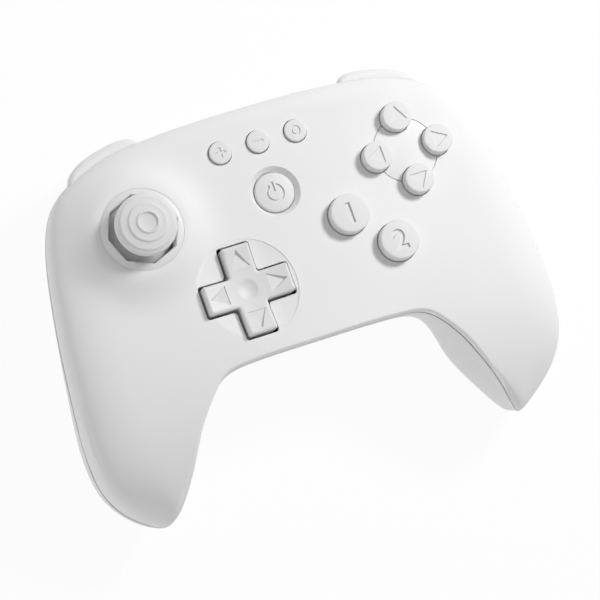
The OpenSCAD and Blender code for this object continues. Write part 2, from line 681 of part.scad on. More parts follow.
// Stick: a cap with stepped rings and a ball skirt, a shaft, and a yoke in its housing.
pivot_z = board_top + pivot_up;
skirt_r = 12;
skirt_t = 1.2;
neck_r = 4.6;
cap_r = cap_d / 2;
cap_low = cap_z - 5.3;
module stick_gate_ring() {
    color(pale) laid()
        at_place(stick_at)
            difference() {
                rotate_extrude()
                    polygon([[6, gate_seat_z - 2.6], [sleeve_r, gate_seat_z - 2.6], [sleeve_r, gate_seat_z],
                        [gate_r, gate_seat_z], [gate_r, gate_edge_z],
                        [gate_r - 2, gate_edge_z + gate_rise * 0.9], [6, gate_edge_z + gate_rise]]);
                translate([0, 0, gate_seat_z - 4])
                    cylinder(d = gate_flats / cos(22.5), h = 12, $fn = 8);
            }
}
ring_r = [7.85, 5.5, 3.1];
module stick_cap() {
    skirt_out = [for (a = [24:8:72]) [skirt_r * sin(a), pivot_z + skirt_r * cos(a)]];
    skirt_in = [for (a = [72:-8:16]) let (r = skirt_r - skirt_t) [r * sin(a), pivot_z + r * cos(a)]];
    top = [[0, cap_z - 0.6], [ring_r[2] - 0.5, cap_z - 0.6], [ring_r[2] - 0.1, cap_z],
        [ring_r[2] + 0.3, cap_z - 0.1],
        [ring_r[1] - 0.6, cap_z - 0.4], [ring_r[1], cap_z - 0.6], [ring_r[1] + 0.2, cap_z - 1.05],
        [ring_r[0] - 0.7, cap_z - 1.4], [ring_r[0], cap_z - 1.6], [ring_r[0] + 0.2, cap_z - 2.05],
        [cap_r - 0.5, cap_z - 2.4], [cap_r, cap_z - 2.9], [cap_r, cap_low + 0.4], [cap_r - 0.6, cap_low]];
    color(white) laid()
        at_place(stick_at)
            difference() {
                rotate_extrude()
                    polygon(concat(top, [[neck_r, cap_low]], skirt_out, skirt_in,
                        [[0, pivot_z + skirt_r - skirt_t]]));
                translate([0, 0, pivot_z])
                    cylinder(r = shaft_r, h = shaft_len);
            }
}
shaft_r = 1.8;
shaft_len = cap_z - 3 - pivot_z;
yoke_r = 4.6;
yoke_in = 3.3;
yoke_t = 1.8;
trunnion_r = 0.8;
housing_half = 6.5;
housing_wall = 1;
housing_top = -4.8;
module lying(len, r, a) {
    rotate([0, 90, a])
        cylinder(r = r, h = len, center = true);
}
module stick_shaft() {
    color(metal) laid()
        at_place(stick_at, pivot_z)
            union() {
                translate([0, 0, -1.2])
                    cylinder(r = shaft_r, h = shaft_len + 1.2);
                lying(2 * yoke_r, trunnion_r, 90);
            }
}
module stick_yoke() {
    color(dark) laid()
        at_place(stick_at, pivot_z)
            difference() {
                union() {
                    translate([0, 0, -yoke_t / 2])
                        cylinder(r = yoke_r, h = yoke_t);
                    lying(2 * housing_half, trunnion_r, 0);
                }
                translate([0, 0, -yoke_t])
                    cylinder(r = yoke_in, h = 2 * yoke_t);
                lying(2 * housing_half, trunnion_r + 0.05, 90);
            }
}
module stick_housing() {
    color(dark) laid()
        at_place(stick_at)
            difference() {
                translate([-housing_half, -housing_half, board_top])
                    cube([2 * housing_half, 2 * housing_half, housing_top - board_top]);
                translate([housing_wall - housing_half, housing_wall - housing_half, board_top + 0.5])
                    cube([2 * (housing_half - housing_wall), 2 * (housing_half - housing_wall), 20]);
                translate([0, 0, pivot_z])
                    lying(4 * housing_half, trunnion_r + 0.05, 0);
            }
}

// Directional pad: a cross on a flange, rocking on a small ball.
dpad_pivot = -3.2;
ball_r = 2;
dpad_flange_r = 10;
dpad_flange_z = -6.4;
dpad_flange_t = 1.1;
dpad_hollow = 60;
dimple_d = 6.2;
dimple_r = 7;
dpad_prong_at = 9.2;
arm_mark_r = 3.2;
module dpad() {
    top = face_on(dpad_at) + dpad_up;
    floor_z = top - dpad_span * dpad_span / 8 / dpad_hollow;
    color(white) laid()
        at_place(dpad_at)
            difference() {
                union() {
                    translate([0, 0, dpad_flange_z])
                        linear_extrude(top - dpad_flange_z)
                            cross_plan(dpad_span, dpad_arm);
                    translate([0, 0, dpad_flange_z])
                        cylinder(r = dpad_flange_r, h = dpad_flange_t);
                    for (a = [0:90:270])
                        rotate(a)
                            translate([dpad_prong_at, 0, key_base])
                                cylinder(r = 2, h = dpad_flange_z - key_base + 0.5);
                }
                translate([0, 0, floor_z + dpad_hollow])
                    sphere(r = dpad_hollow, $fn = 128);
                translate([0, 0, floor_z - 0.6 + dimple_r])
                    sphere(r = dimple_r);
                for (a = [0:90:270])
                    rotate(a)
                        translate([dpad_span / 2 - 5.2, 0, top - mark_depth - 0.9])
                            cylinder(r = arm_mark_r, h = 4, $fn = 3);
                translate([0, 0, dpad_pivot])
                    sphere(r = ball_r + slip);
                translate([0, 0, dpad_flange_z - 1])
                    cylinder(r = ball_r + 1.2, h = dpad_pivot - dpad_flange_z + 1);
            }
}
module dpad_ball() {
    color(metal) laid()
        at_place(dpad_at, dpad_pivot)
            sphere(r = ball_r);
}
post_cup = 0.05;
module dpad_post() {
    color(pale) laid()
        at_place(dpad_at)
            difference() {
                translate([0, 0, board_top])
                    cylinder(r = ball_r, h = dpad_pivot - 0.9 - board_top);
                translate([0, 0, dpad_pivot])
                    sphere(r = ball_r + post_cup);
            }
}

// Buttons.
module centre_button() {
    color(white) laid()
        key([0, 0], centre_d, centre_up);
}
module menu_button(i) {
    color(white) laid()
        key(menu_at[i], menu_d, menu_up);
}
module action_button(i) {
    color(white) laid()
        key(action_at[i], action_d, action_up);
}
module arrow_button(a) {
    color(white) laid()
        arrow_key(a);
}

// Silicone contact pads with a dome under each button.
pad_t = 0.8;
module contact_dome(p, r) {
    at_place(p, board_top + pad_t)
        cylinder(r1 = r, r2 = r * 0.7, h = key_base - board_top - pad_t);
}
module pad_sheet() {
    translate([0, 0, board_top])
        linear_extrude(pad_t)
            children();
}
module dpad_pad() {
    color(rubber) laid()
        difference() {
            union() {
                pad_sheet()
                    translate(dpad_at)
                        circle(r = dpad_span / 2);
                for (a = [0:90:270])
                    contact_dome(dpad_at + dpad_prong_at * [cos(a), sin(a)], 3);
            }
            at_place(dpad_at, board_top - 1)
                cylinder(r = ball_r + 0.2, h = 9);
        }
}
module action_pad() {
    color(rubber) laid()
        union() {
            pad_sheet()
                union() {
                    for (p = action_at)
                        translate(p)
                            circle(r = 6.4);
                    translate(action_at[0])
                        rotate(-45)
                            translate([0, -4])
                                square([action_step * sqrt(2), 8]);
                }
            for (p = action_at)
                contact_dome(p, 4.4);
        }
}
module arrow_pad() {
    color(rubber) laid()
        union() {
            pad_sheet()
                translate(arrow_at)
                    circle(r = arrow_ring_r + 2.2);
            for (a = [0:90:270])
                contact_dome(arrow_place(a), 2);
        }
}
menu_pad_edge = 3.6;
module menu_pad() {
    low = -6;
    color(rubber) laid()
        union() {
            pad_sheet()
                union() {
                    translate([-menu_pitch - menu_pad_edge, menu_y - menu_pad_edge])
                        square([2 * (menu_pitch + menu_pad_edge), 2 * menu_pad_edge]);
                    translate([-6, low])
                        square([12, menu_y - low]);
                }
            contact_dome([0, 0], 4.6);
            for (p = menu_at)
                contact_dome(p, 2.3);
        }
}

// Board and what stands on it.
board_side = half_w - board_in;
board_tab = bumper_pin_at[0] - 3.5;
board_tab_y = top_y - 5;
board_shoulder_y = 13;
module main_board() {
    half = [[board_tab, board_tab_y], [board_tab, board_shoulder_y], [board_side, board_shoulder_y],
        [board_side, -20], [40, 6 - bottom_y]];
    other = [for (i = [len(half) - 1:-1:0]) [-half[i][0], half[i][1]]];
    color(green) laid()
        difference() {
            translate([0, 0, board_low])
                linear_extrude(board_t)
                    polygon(concat(half, other));
            both_sides()
                for (p = screw_at)
                    at_place(p, board_low - 1)
                        cylinder(d = screw_d + 0.5, h = board_t + 2);
        }
}
usb_open = [8.34, 2.56];
usb_open_deep = 6.2;
module usb_socket() {
    color(metal) laid()
        difference() {
            translate([0, usb_y, usb_z])
                slot_along_y(usb_w, usb_h, usb_len);
            translate([0, usb_y + usb_len - usb_open_deep, usb_z])
                slot_along_y(usb_open[0], usb_open[1], usb_open_deep + 1);
        }
}
pair_in = top_y - 5.8;
pair_flange = [2.6, 0.8];
pair_stop = top_y - wall - 1.3;
module pair_button() {
    color(white) laid()
        translate([pair_x, 0, pair_z])
            rotate([-90, 0, 0])
                union() {
                    translate([0, 0, pair_in])
                        cylinder(d = pair_d, h = pair_out - pair_in);
                    translate([0, 0, pair_stop - pair_flange[1]])
                        cylinder(r = pair_flange[0], h = pair_flange[1]);
                }
}
pair_switch_size = [4, 2.2, 3.4];
module pair_switch() {
    color(dark) laid()
        translate([pair_x - pair_switch_size[0] / 2, pair_in - 0.8 - pair_switch_size[1], board_top])
            cube(pair_switch_size);
}
module light_pipe() {
    color(rubber) laid()
        union() {
            translate([light_x[0] - 2, light_y + 3.4, light_z - 1])
                cube([3 * light_pitch + 4, 4, board_low - light_z + 1]);
            for (x = light_x)
                light_bar(x, light_y, 5, 0);
        }
}
foam_t = 0.8;
battery_y = -13;
module under_board(size, z) {
    translate([-size[0] / 2, battery_y - size[1] / 2, z - size[2]])
        cube(size);
}
module battery_foam() {
    color(dark) laid()
        under_board([battery[0] - 6, battery[1] - 6, foam_t], board_low);
}
module battery_cell() {
    color(metal) laid()
        under_board(battery, board_low - foam_t);
}

// Shoulder bracket under the board: ears for the trigger pin, a bore for the bumper pin.
bracket_t = 1.5;
ear_t = 2;
ear_gap = 0.9;
bracket_low = board_low - bracket_t;
module shoulder_bracket() {
    in = trigger_x - trigger_w / 2 - ear_gap - ear_t;
    out = trigger_x + trigger_w / 2 + ear_gap;
    difference() {
        union() {
            translate([in - 2.3, 5, bracket_low])
                cube([out + ear_t - in + 2.3, 5.4, bracket_t]);
            translate([in - 2.3, 5, bracket_low])
                cube([ear_t + 2.3, bumper_pin_at[1] - 2.5, bracket_t]);
            for (x = [in, out])
                across(x, ear_t)
                    union() {
                        polygon([[6, board_low], [hinge_y + boss_r, board_low], [hinge_y + boss_r, hinge_z],
                            [hinge_y - boss_r, hinge_z], [6, bracket_low]]);
                        translate([hinge_y, hinge_z])
                            circle(r = boss_r);
                    }
        }
        across(in - 5, trigger_w + 20)
            translate([hinge_y, hinge_z])
                circle(d = trigger_pin_d);
        at_place(bumper_pin_at, bracket_low - 5)
            cylinder(d = bumper_pin_d, h = 12);
    }
}
module trigger_pin() {
    across(trigger_x - trigger_w / 2 - ear_gap - ear_t, trigger_w + 2 * (ear_gap + ear_t))
        translate([hinge_y, hinge_z])
            circle(d = trigger_pin_d);
}
module bumper_pin() {
    at_place(bumper_pin_at, bracket_low)
        cylinder(d = bumper_pin_d, h = bumper_top - bracket_low + 0.8);
}

// Torsion spring round the trigger pin, one tube from the bracket leg to the trigger leg.
wire_r = 0.3;
coil_r = boss_r + 0.9;
coil_turns = 3.25;
coil_pitch = 1.15;
coil_x = trigger_x - trigger_w / 2 + cheek_in + cheek_t + 2 * wire_r;
function coil_point(t) = [coil_x + t * coil_pitch, hinge_y + coil_r * sin(360 * t),
    hinge_z + coil_r * cos(360 * t)];
spring_path = concat([coil_point(0) + [0, -5.5, -1.6], coil_point(0) + [0, -3.3, -1.4]],
    [for (i = [0:8 * coil_turns]) coil_point(i / 8)],
    [coil_point(coil_turns) + [0, 0.8, -2.2], coil_point(coil_turns) + [0, 6, -4.2]]);
function heading(path, i) = unit(path[min(i + 1, len(path) - 1)] - path[max(i - 1, 0)]);
function wire_ring(path, i) = let (d = heading(path, i), s = unit(cross(d, [1, 0, 0])), u = cross(s, d))
    [for (a = [0:60:300]) path[i] + wire_r * (s * cos(a) + u * sin(a))];
spring_gap = min([for (i = [0:len(spring_path) - 1]) for (j = [i + 4:1:len(spring_path) - 1])
    norm(spring_path[i] - spring_path[j])]) - 2 * wire_r;
echo(spring_gap = spring_gap);
module trigger_spring() {
    loft([for (i = [0:len(spring_path) - 1]) wire_ring(spring_path, i)]);
}

// Rumble motors.
motor_shaft_r = 0.9;
weight_len = 5;
weight_gap = 0.8;
module motor() {
    motor_body(0);
    translate([motor_at[0], motor_at[1] + motor_len / 2 + weight_gap + weight_len, motor_z])
        rotate([90, 0, 0])
            cylinder(r = motor_shaft_r, h = weight_gap + weight_len + 1);
}
module motor_weight() {
    translate([motor_at[0], motor_at[1] + motor_len / 2 + weight_gap + weight_len, motor_z])
        rotate([90, 0, 0])
            difference() {
                union() {
                    intersection() {
                        cylinder(r = weight_r, h = weight_len);
                        translate([-weight_r, -weight_r, 0])
                            cube([2 * weight_r, weight_r, weight_len]);
                    }
                    cylinder(r = 2.2, h = weight_len);
                }
                translate([0, 0, -1])
                    cylinder(r = motor_shaft_r + 0.05, h = weight_len + 2);
            }
}
module case_screws() {
    head_z = board_low - post_floor - head_h;
    color(metal) laid()
        both_sides()
            for (p = screw_at) {
                at_place(p, head_z)
                    cylinder(d = head_d, h = head_h);
                at_place(p, head_z)
                    cylinder(d = screw_d, h = head_h + post_floor + board_t + screw_reach);
            }
}

front_shell();
back_shell();
stick_gate_ring();
stick_cap();
stick_shaft();
stick_yoke();
stick_housing();
dpad();
dpad_ball();
dpad_post();
centre_button();
menu_button(0);  // menu_button_left
menu_button(1);  // menu_button_middle
menu_button(2);  // menu_button_right
action_button(0);  // action_button_1
action_button(1);  // action_button_2
arrow_button(90);  // arrow_button_up
arrow_button(270);  // arrow_button_down
arrow_button(180);  // arrow_button_left
arrow_button(0);  // arrow_button_right
color(white) laid() left_side() bumper();  // bumper_left
color(white) laid() bumper();  // bumper_right
color(metal) laid() left_side() bumper_pin();  // bumper_pin_left
color(metal) laid() bumper_pin();  // bumper_pin_right
color(white) laid() left_side() trigger();  // trigger_left
color(white) laid() trigger();  // trigger_right
color(metal) laid() left_side() trigger_pin();  // trigger_pin_left
color(metal) laid() trigger_pin();  // trigger_pin_right
color(metal) laid() left_side() trigger_spring();  // trigger_spring_left
color(metal) laid() trigger_spring();  // trigger_spring_right
color(dark) laid() left_side() shoulder_bracket();  // shoulder_bracket_left
color(dark) laid() shoulder_bracket();  // shoulder_bracket_right
dpad_pad();
action_pad();
arrow_pad();
menu_pad();
main_board();
usb_socket();
pair_button();
pair_switch();
light_pipe();
battery_foam();
battery_cell();
color(metal) laid() left_side() motor();  // motor_left
color(metal) laid() motor();  // motor_right
color(dark) laid() left_side() motor_weight();  // motor_weight_left
color(dark) laid() motor_weight();  // motor_weight_right
case_screws();
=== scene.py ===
import json
import math

import bpy
import numpy as np
from mathutils import Matrix, Vector


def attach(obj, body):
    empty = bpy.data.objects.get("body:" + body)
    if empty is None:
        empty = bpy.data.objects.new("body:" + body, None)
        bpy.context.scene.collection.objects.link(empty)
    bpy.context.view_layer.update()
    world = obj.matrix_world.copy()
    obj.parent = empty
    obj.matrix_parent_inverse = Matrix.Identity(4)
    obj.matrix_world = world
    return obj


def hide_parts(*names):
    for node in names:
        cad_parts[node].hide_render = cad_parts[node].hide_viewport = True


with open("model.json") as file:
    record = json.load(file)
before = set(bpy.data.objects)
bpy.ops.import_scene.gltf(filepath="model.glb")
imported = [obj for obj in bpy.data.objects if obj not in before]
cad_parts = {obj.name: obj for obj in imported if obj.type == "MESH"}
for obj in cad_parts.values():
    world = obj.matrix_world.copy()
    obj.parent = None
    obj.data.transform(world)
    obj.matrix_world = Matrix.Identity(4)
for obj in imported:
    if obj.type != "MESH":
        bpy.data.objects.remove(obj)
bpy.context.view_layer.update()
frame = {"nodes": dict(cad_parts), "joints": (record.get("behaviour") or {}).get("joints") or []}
mm = 0.001
joints = {joint["name"]: joint for joint in frame["joints"]}

# the pad's own frame: X right, Y to the shoulders, Z out of the face, in millimetres
stick = {"x": 43.1, "pivot": -8, "moundHeight": 4.6, "moundSpread": 7, "gateRadius": 12.4}
faceNormal = -Vector(joints["centre_button_press"]["axis"])
tilt = math.atan2(faceNormal.y, faceNormal.z)
turned = Matrix.Rotation(-tilt, 4, "X")
pivotInRow = Vector(joints["stick_fore_aft"]["pos_m"])
faceOrigin = pivotInRow - turned @ (Vector((-stick["x"], 0, stick["pivot"])) * mm)
faceToRow = Matrix.Translation(faceOrigin) @ turned
lift = faceOrigin.z / mm
print("lie of the face: tilt", round(math.degrees(tilt), 2), "lift", round(lift, 2))

# body form, the same sheets and outline as the solids
body = {"width": 152, "topY": 28.5, "bottomY": 45.8, "gripY": 81.6, "gripX": 58, "widestY": 52, "wall": 2.2,
        "seamTop": 9, "seamWidest": 20, "seamTip": 29, "seamBottom": 5.5, "seamMiddle": 2.6, "seamGap": 0.9,
        "turnPlaces": (0, 45, 70, 90, 110, 124, 131, 136, 141, 180),
        "turns": (7.2, 9.9, 14, 16.2, 16.2, 13.5, 9, 3.2, 0.9, 0.9),
        "fullness": (2.4, 2.8, 3.6, 4, 4, 3.4, 2.4, 1.8, 2, 2), "roundPower": 2.2,
        "crown": 0.0006, "fall": 0.000105, "fallFrom": -25, "fallSide": 10, "fallFade": 26,
        "backDepth": 26, "backRound": 20, "gripDrop": 19, "dropFrom": -15, "dropLength": 45,
        "gripFrom": 20, "gripFade": 44, "gripFill": 0.6, "fillFrom": -30, "fillLength": 25, "fillSide": 14,
        "gripLean": 0.2, "leanRoom": 2, "leanLength": 14, "leanSide": 6, "leanFade": 18,
        "humpY": 5, "humpLength": 17, "humpHalf": 28, "humpFade": 34, "restFlat": 0.4,
        "sweepStep": 0.25, "sweepEnd": 88.9, "columns": 240, "rows": 130, "backSmooth": 40,
        "rimSteps": 1400, "rimLeast": 0.3, "rimClose": 0.5, "rimBlend": 1.5}
halfWidth = body["width"] / 2


def sweepAngle(x):
    return math.degrees(math.asin(x / halfWidth))


# x, y and depth of the joint line, round the right half from the top edge to the bottom edge
def outlineKnots():
    side, top, grip, gripX, low = halfWidth, body["topY"], body["gripY"], body["gripX"], body["bottomY"]
    first, tip, last, middle = (body["seam" + part] for part in ("Top", "Tip", "Bottom", "Middle"))
    upper = [(0, top, -first), (side - 39, top - 1.5, -first - 1), (side - 23, top - 5.6, -first - 2.2),
             (side - 12.5, top - 12.7, -first - 3.2), (side - 7, top - 24.5, -first - 4),
             (side - 3.2, top - 44, -first - 5.5), (side - 0.8, top - 64.5, -first - 7.5)]
    lower = [(side - 1, 18.3 - grip, 5.5 - tip), (side - 4.7, 10.3 - grip, 1 - tip),
             (gripX + 5.9, 3.3 - grip, -tip - 2), (gripX, -grip, -tip), (gripX - 3.7, 2.3 - grip, 7 - tip),
             (gripX - 8.5, 10.3 - grip, 16 - tip), (gripX - 15, 22.3 - grip, -last - 2),
             (gripX - 20.5, -low - 6.2, 0.7 - last), (gripX - 25, -low - 2, 1 - last),
             (gripX - 31, -low - 0.4, -middle - 0.8), (0, -low, -middle)]
    places = [(sweepAngle(x), np.array((y, z))) for x, y, z in upper]
    places.append((90, np.array((-body["widestY"], -body["seamWidest"]))))
    return places + [(180 - sweepAngle(x), np.array((y, z))) for x, y, z in lower]


knots = outlineKnots()


def knotSlope(i):
    if i in (0, len(knots) - 1):
        return np.zeros(2)
    return (knots[i + 1][1] - knots[i - 1][1]) / (knots[i + 1][0] - knots[i - 1][0])


def outlineAt(t):  # [y, depth of the joint line] at a place in the sweep
    i = max(k for k in range(len(knots) - 1) if k == 0 or knots[k][0] <= t)
    (t0, a), (t1, b) = knots[i], knots[i + 1]
    h = t1 - t0
    u = (t - t0) / h
    return (a * (1 + 2 * u) * (1 - u) ** 2 + b * u * u * (3 - 2 * u)
            + h * knotSlope(i) * u * (1 - u) ** 2 - h * knotSlope(i + 1) * u * u * (1 - u))


def outlineCosine(t, a):
    step = body["sweepStep"]
    rise = (outlineAt(t + step)[0] - outlineAt(t - step)[0]) / 2
    run = halfWidth * math.cos(math.radians(a)) * math.radians(step)
    return abs(run) / math.hypot(rise, run)


# width and fullness of the front's edge: wide over the shoulders and grips, crisp along the bottom
def faceEdge(t):
    return np.array([np.interp(t, body["turnPlaces"], body[key]) for key in ("turns", "fullness")])


# each end of a slice: y, joint depth, slant, width and fullness of the edge
def sliceOf(a):
    t = max(body["sweepStep"], abs(a))
    return {"x": halfWidth * math.sin(math.radians(a)),
            "low": (*outlineAt(180 - abs(a)), outlineCosine(180 - t, t), *faceEdge(180 - abs(a))),
            "high": (*outlineAt(abs(a)), outlineCosine(t, t), *faceEdge(abs(a)))}


def ease(t):
    u = np.clip(t, 0, 1)
    return u * u * (3 - 2 * u)


def gripShare(x):
    return ease((abs(x) - body["gripFrom"]) / body["gripFade"])


def faceSheet(x, y):
    away = np.maximum(0, np.hypot(x + stick["x"], y) - stick["gateRadius"]) / stick["moundSpread"]
    fall = body["fall"] * np.maximum(0, body["fallFrom"] - y) ** 3
    return (stick["moundHeight"] * np.exp(-away ** 2) - body["crown"] * x * x
            - fall * ease((abs(x) - body["fallSide"]) / body["fallFade"]))


# how far the back swells out to reach the table under the shoulders
hump = (lift + body["restFlat"] - body["humpY"] * math.sin(tilt)) / math.cos(tilt) - body["backDepth"]


def backSheet(x, y):
    drop = body["gripDrop"] * ease((body["dropFrom"] - y) / body["dropLength"]) * gripShare(x)
    swell = np.exp(-((y - body["humpY"]) / body["humpLength"]) ** 2)
    fade = 1 - ease((abs(x) - body["humpHalf"]) / body["humpFade"])
    return -body["backDepth"] - drop - hump * swell * fade


def rounded(u, full=body["roundPower"]):
    return (1 - (1 - np.clip(u, 0, 1)) ** body["roundPower"]) ** (1 / full)


def nearer(a, b):  # a smooth lesser of two distances
    return (np.maximum(a, 1e-6) ** -3 + np.maximum(b, 1e-6) ** -3) ** (-1 / 3)


# bits of the outline: x, y, depth, length, width and fullness of the edge
def rimSamples():
    t = np.linspace(0, 180, body["rimSteps"] + 1)
    half = np.array([(halfWidth * math.sin(math.radians(a)), *outlineAt(a)) for a in t])
    length = np.hypot(*(half[1:, :2] - half[:-1, :2]).T)
    right = np.column_stack([(half[1:] + half[:-1]) / 2, length, *faceEdge((t[1:] + t[:-1]) / 2)])
    return np.vstack([right, right * (-1, 1, 1, 1, 1, 1)])


rim = rimSamples()


# distance to the outline, the same over the edge's width, depth of the joint line, fullness
def fromRim(x, y, s):
    away = np.hypot(x[:, None] - rim[:, 0], y[:, None] - rim[:, 1])
    pull = rim[:, 3] * np.maximum(away, body["rimLeast"]) ** -4
    soft = pull * rim[:, 4] ** 3
    wide = np.stack([(pull.sum(1) * 2 / math.pi) ** (-1 / 3), (soft.sum(1) * 2 / math.pi) ** (-1 / 3),
                     pull @ rim[:, 2] / pull.sum(1), soft @ rim[:, 5] / soft.sum(1)])
    (y0, z0, slant0, turn0, full0), (y1, z1, slant1, turn1, full1) = s["low"], s["high"]
    low, high = (y - y0) * slant0, (y1 - y) * slant1
    part = np.clip((y - y0) / (y1 - y0), 0, 1)
    close = np.stack([nearer(low, high), nearer(low / turn0, high / turn1), z0 + (z1 - z0) * part,
                      full0 + (full1 - full0) * part])
    return close + (wide - close) * ease((close[0] - body["rimClose"]) / body["rimBlend"])


def jointZ(y, s):
    (y0, z0), (y1, z1) = s["low"][:2], s["high"][:2]
    return z0 + (z1 - z0) * np.clip((y - y0) / (y1 - y0), 0, 1)


def frontZ(y, s):
    y = np.atleast_1d(np.asarray(y, float))
    x = np.full_like(y, s["x"])
    share, depth, full = fromRim(x, y, s)[1:]
    edge = depth + body["seamGap"] / 2
    return edge + (faceSheet(x, y) - edge) * rounded(share, full)


def backZ(y, s):
    y = np.atleast_1d(np.asarray(y, float))
    x = np.full_like(y, s["x"])
    near, depth = fromRim(x, y, s)[[0, 2]]
    edge = depth - body["seamGap"] / 2
    fill = (body["gripFill"] * ease((body["fillFrom"] - y) / body["fillLength"]) * gripShare(x)
            * ease((halfWidth - abs(x)) / body["fillSide"]))
    return edge + (backSheet(x, y) - edge) * rounded(near / (body["backRound"] * (1 - fill)))


def leanX(y, z, s):  # the back of a grip leans in under its front
    depth = jointZ(y, s) - z
    along = ease((body["leanRoom"] - body["bottomY"] - y) / body["leanLength"])
    across = ease((body["gripX"] + body["leanSide"] - abs(s["x"])) / body["leanFade"])
    return -math.copysign(1, s["x"]) * body["gripLean"] * depth * along * across


def faceAt(x, y):
    return float(frontZ(y, sliceOf(sweepAngle(x)))[0])


def backAt(x, y):
    return float(backZ(y, sliceOf(sweepAngle(x)))[0])


# small modelling helpers
def leaveEdit():
    bpy.ops.object.mode_set(mode="OBJECT")


def clearSelection():
    if bpy.context.object and bpy.context.object.mode != "OBJECT":
        leaveEdit()
    bpy.ops.object.select_all(action="DESELECT")


def active(name):
    obj = bpy.context.object
    obj.name = obj.data.name = name
    return obj


def only(obj):
    clearSelection()
    obj.select_set(True)
    bpy.context.view_layer.objects.active = obj
    return obj


def editAll(obj):
    only(obj)
    bpy.ops.object.mode_set(mode="EDIT")
    bpy.ops.mesh.select_all(action="SELECT")


def settle(obj):  # puts the object's place into its mesh
    only(obj)
    bpy.ops.object.transform_apply(location=True, rotation=True, scale=True)
    return obj


def addModifier(obj, kind, **settings):
    mod = obj.modifiers.new(kind.lower(), kind)
    for key, value in settings.items():
        setattr(mod, key, value)
    only(obj)
    bpy.ops.object.modifier_apply(modifier=mod.name)


def combine(obj, other, how="DIFFERENCE", solver="MANIFOLD"):
    addModifier(obj, "BOOLEAN", operation=how, solver=solver, object=other)
    bpy.data.objects.remove(other)
    return obj


def outward(obj, merge=1e-6):
    editAll(obj)
    bpy.ops.mesh.remove_doubles(threshold=merge)
    bpy.ops.mesh.normals_make_consistent(inside=False)
    leaveEdit()
    return obj


def rod(name, x, y, z0, z1, radius, top=None, segments=96):
    clearSelection()
    bpy.ops.mesh.primitive_cone_add(vertices=segments, radius1=radius * mm, depth=(z1 - z0) * mm,
                                    radius2=(radius if top is None else top) * mm,
                                    location=(x * mm, y * mm, (z0 + z1) / 2 * mm))
    return settle(active(name))


def block(name, low, high):
    clearSelection()
    middle = [(a + b) / 2 * mm for a, b in zip(low, high)]
    bpy.ops.mesh.primitive_cube_add(size=1, location=middle)
    obj = active(name)
    obj.scale = [(b - a) * mm for a, b in zip(low, high)]
    return settle(obj)


# a circle extruded and scaled along a profile of (radius, z)
def turnedPiece(name, x, y, profile, segments=96):
    clearSelection()
    r0, z0 = profile[0]
    bpy.ops.mesh.primitive_circle_add(vertices=segments, radius=r0 * mm, fill_type="NGON",
                                      location=(0, 0, z0 * mm))
    obj = settle(active(name))
    editAll(obj)
    for (ra, za), (rb, zb) in zip(profile, profile[1:]):
        bpy.ops.mesh.extrude_region_move()
        scale = rb / ra
        bpy.ops.transform.resize(value=(scale, scale, 1), center_override=(0, 0, 0))
        bpy.ops.transform.translate(value=(0, 0, (zb - za) * mm))
    leaveEdit()
    obj.data.transform(Matrix.Translation((x * mm, y * mm, 0)))
    return outward(obj)


def arc(cx, cz, radius, start, end, steps):
    return [(cx + radius * math.cos(math.radians(a)), cz + radius * math.sin(math.radians(a)))
            for a in np.linspace(start, end, steps)]


def roundEdges(obj, width, segments, pick):  # bevels the edges whose two ends answer to pick
    only(obj)
    bpy.ops.object.mode_set(mode="EDIT")
    bpy.ops.mesh.select_mode(type="EDGE")
    bpy.ops.mesh.select_all(action="DESELECT")
    leaveEdit()
    points = obj.data.vertices
    for edge in obj.data.edges:
        edge.select = bool(pick(points[edge.vertices[0]].co, points[edge.vertices[1]].co))
    bpy.ops.object.mode_set(mode="EDIT")
    bpy.ops.mesh.bevel(offset=width * mm, segments=segments, profile=0.5, affect="EDGES")
    leaveEdit()
    return obj


# materials
def linearColour(hexText):
    parts = [int(hexText[i:i + 2], 16) / 255 for i in (1, 3, 5)]
    return [c / 12.92 if c <= 0.04045 else ((c + 0.055) / 1.055) ** 2.4 for c in parts] + [1]


def addNode(tree, kind, settings=None, links=None, **values):
    node = tree.nodes.new(kind)
    for key, value in (settings or {}).items():
        setattr(node, key, value)
    for socket, value in values.items():
        node.inputs[socket.replace("_", " ")].default_value = value
    for socket, source in (links or {}).items():
        tree.links.new(source, node.inputs[socket])
    return node


# one colour that drifts a little in tone, and a grain that varies the roughness and raises a bump
def surfaceFinish(name, look):
    material = bpy.data.materials.new(name)
    material.use_nodes = True
    tree = material.node_tree
    shader = tree.nodes["Principled BSDF"]
    shader.inputs["Metallic"].default_value = look.get("metallic", 0)
    if not look.get("metallic"):
        shader.inputs["IOR"].default_value = look.get("ior", 1.5)
    place = addNode(tree, "ShaderNodeTexCoord").outputs["Object"]
    grain = addNode(tree, "ShaderNodeTexNoise", None, {"Vector": place}, Scale=1 / (look["grain"] * mm),
                    Detail=3.0, Roughness=0.6)
    drift = addNode(tree, "ShaderNodeTexNoise", None, {"Vector": place}, Scale=1 / (look["drift"] * mm),
                    Detail=2.0)
    tone = addNode(tree, "ShaderNodeMix", {"data_type": "RGBA"}, {"Factor": drift.outputs["Fac"]},
                   A=linearColour(look["colour"]), B=linearColour(look["shade"]))
    tree.links.new(tone.outputs["Result"], shader.inputs["Base Color"])
    spread = addNode(tree, "ShaderNodeMapRange", None, {"Value": grain.outputs["Fac"]}, From_Min=0.3,
                     From_Max=0.7, To_Min=look["roughness"] - look["vary"],
                     To_Max=look["roughness"] + look["vary"])
    tree.links.new(spread.outputs["Result"], shader.inputs["Roughness"])
    bump = addNode(tree, "ShaderNodeBump", None, {"Height": grain.outputs["Fac"]}, Strength=look["bump"],
                   Distance=look["depth"] * mm)
    tree.links.new(bump.outputs["Normal"], shader.inputs["Normal"])
    return material


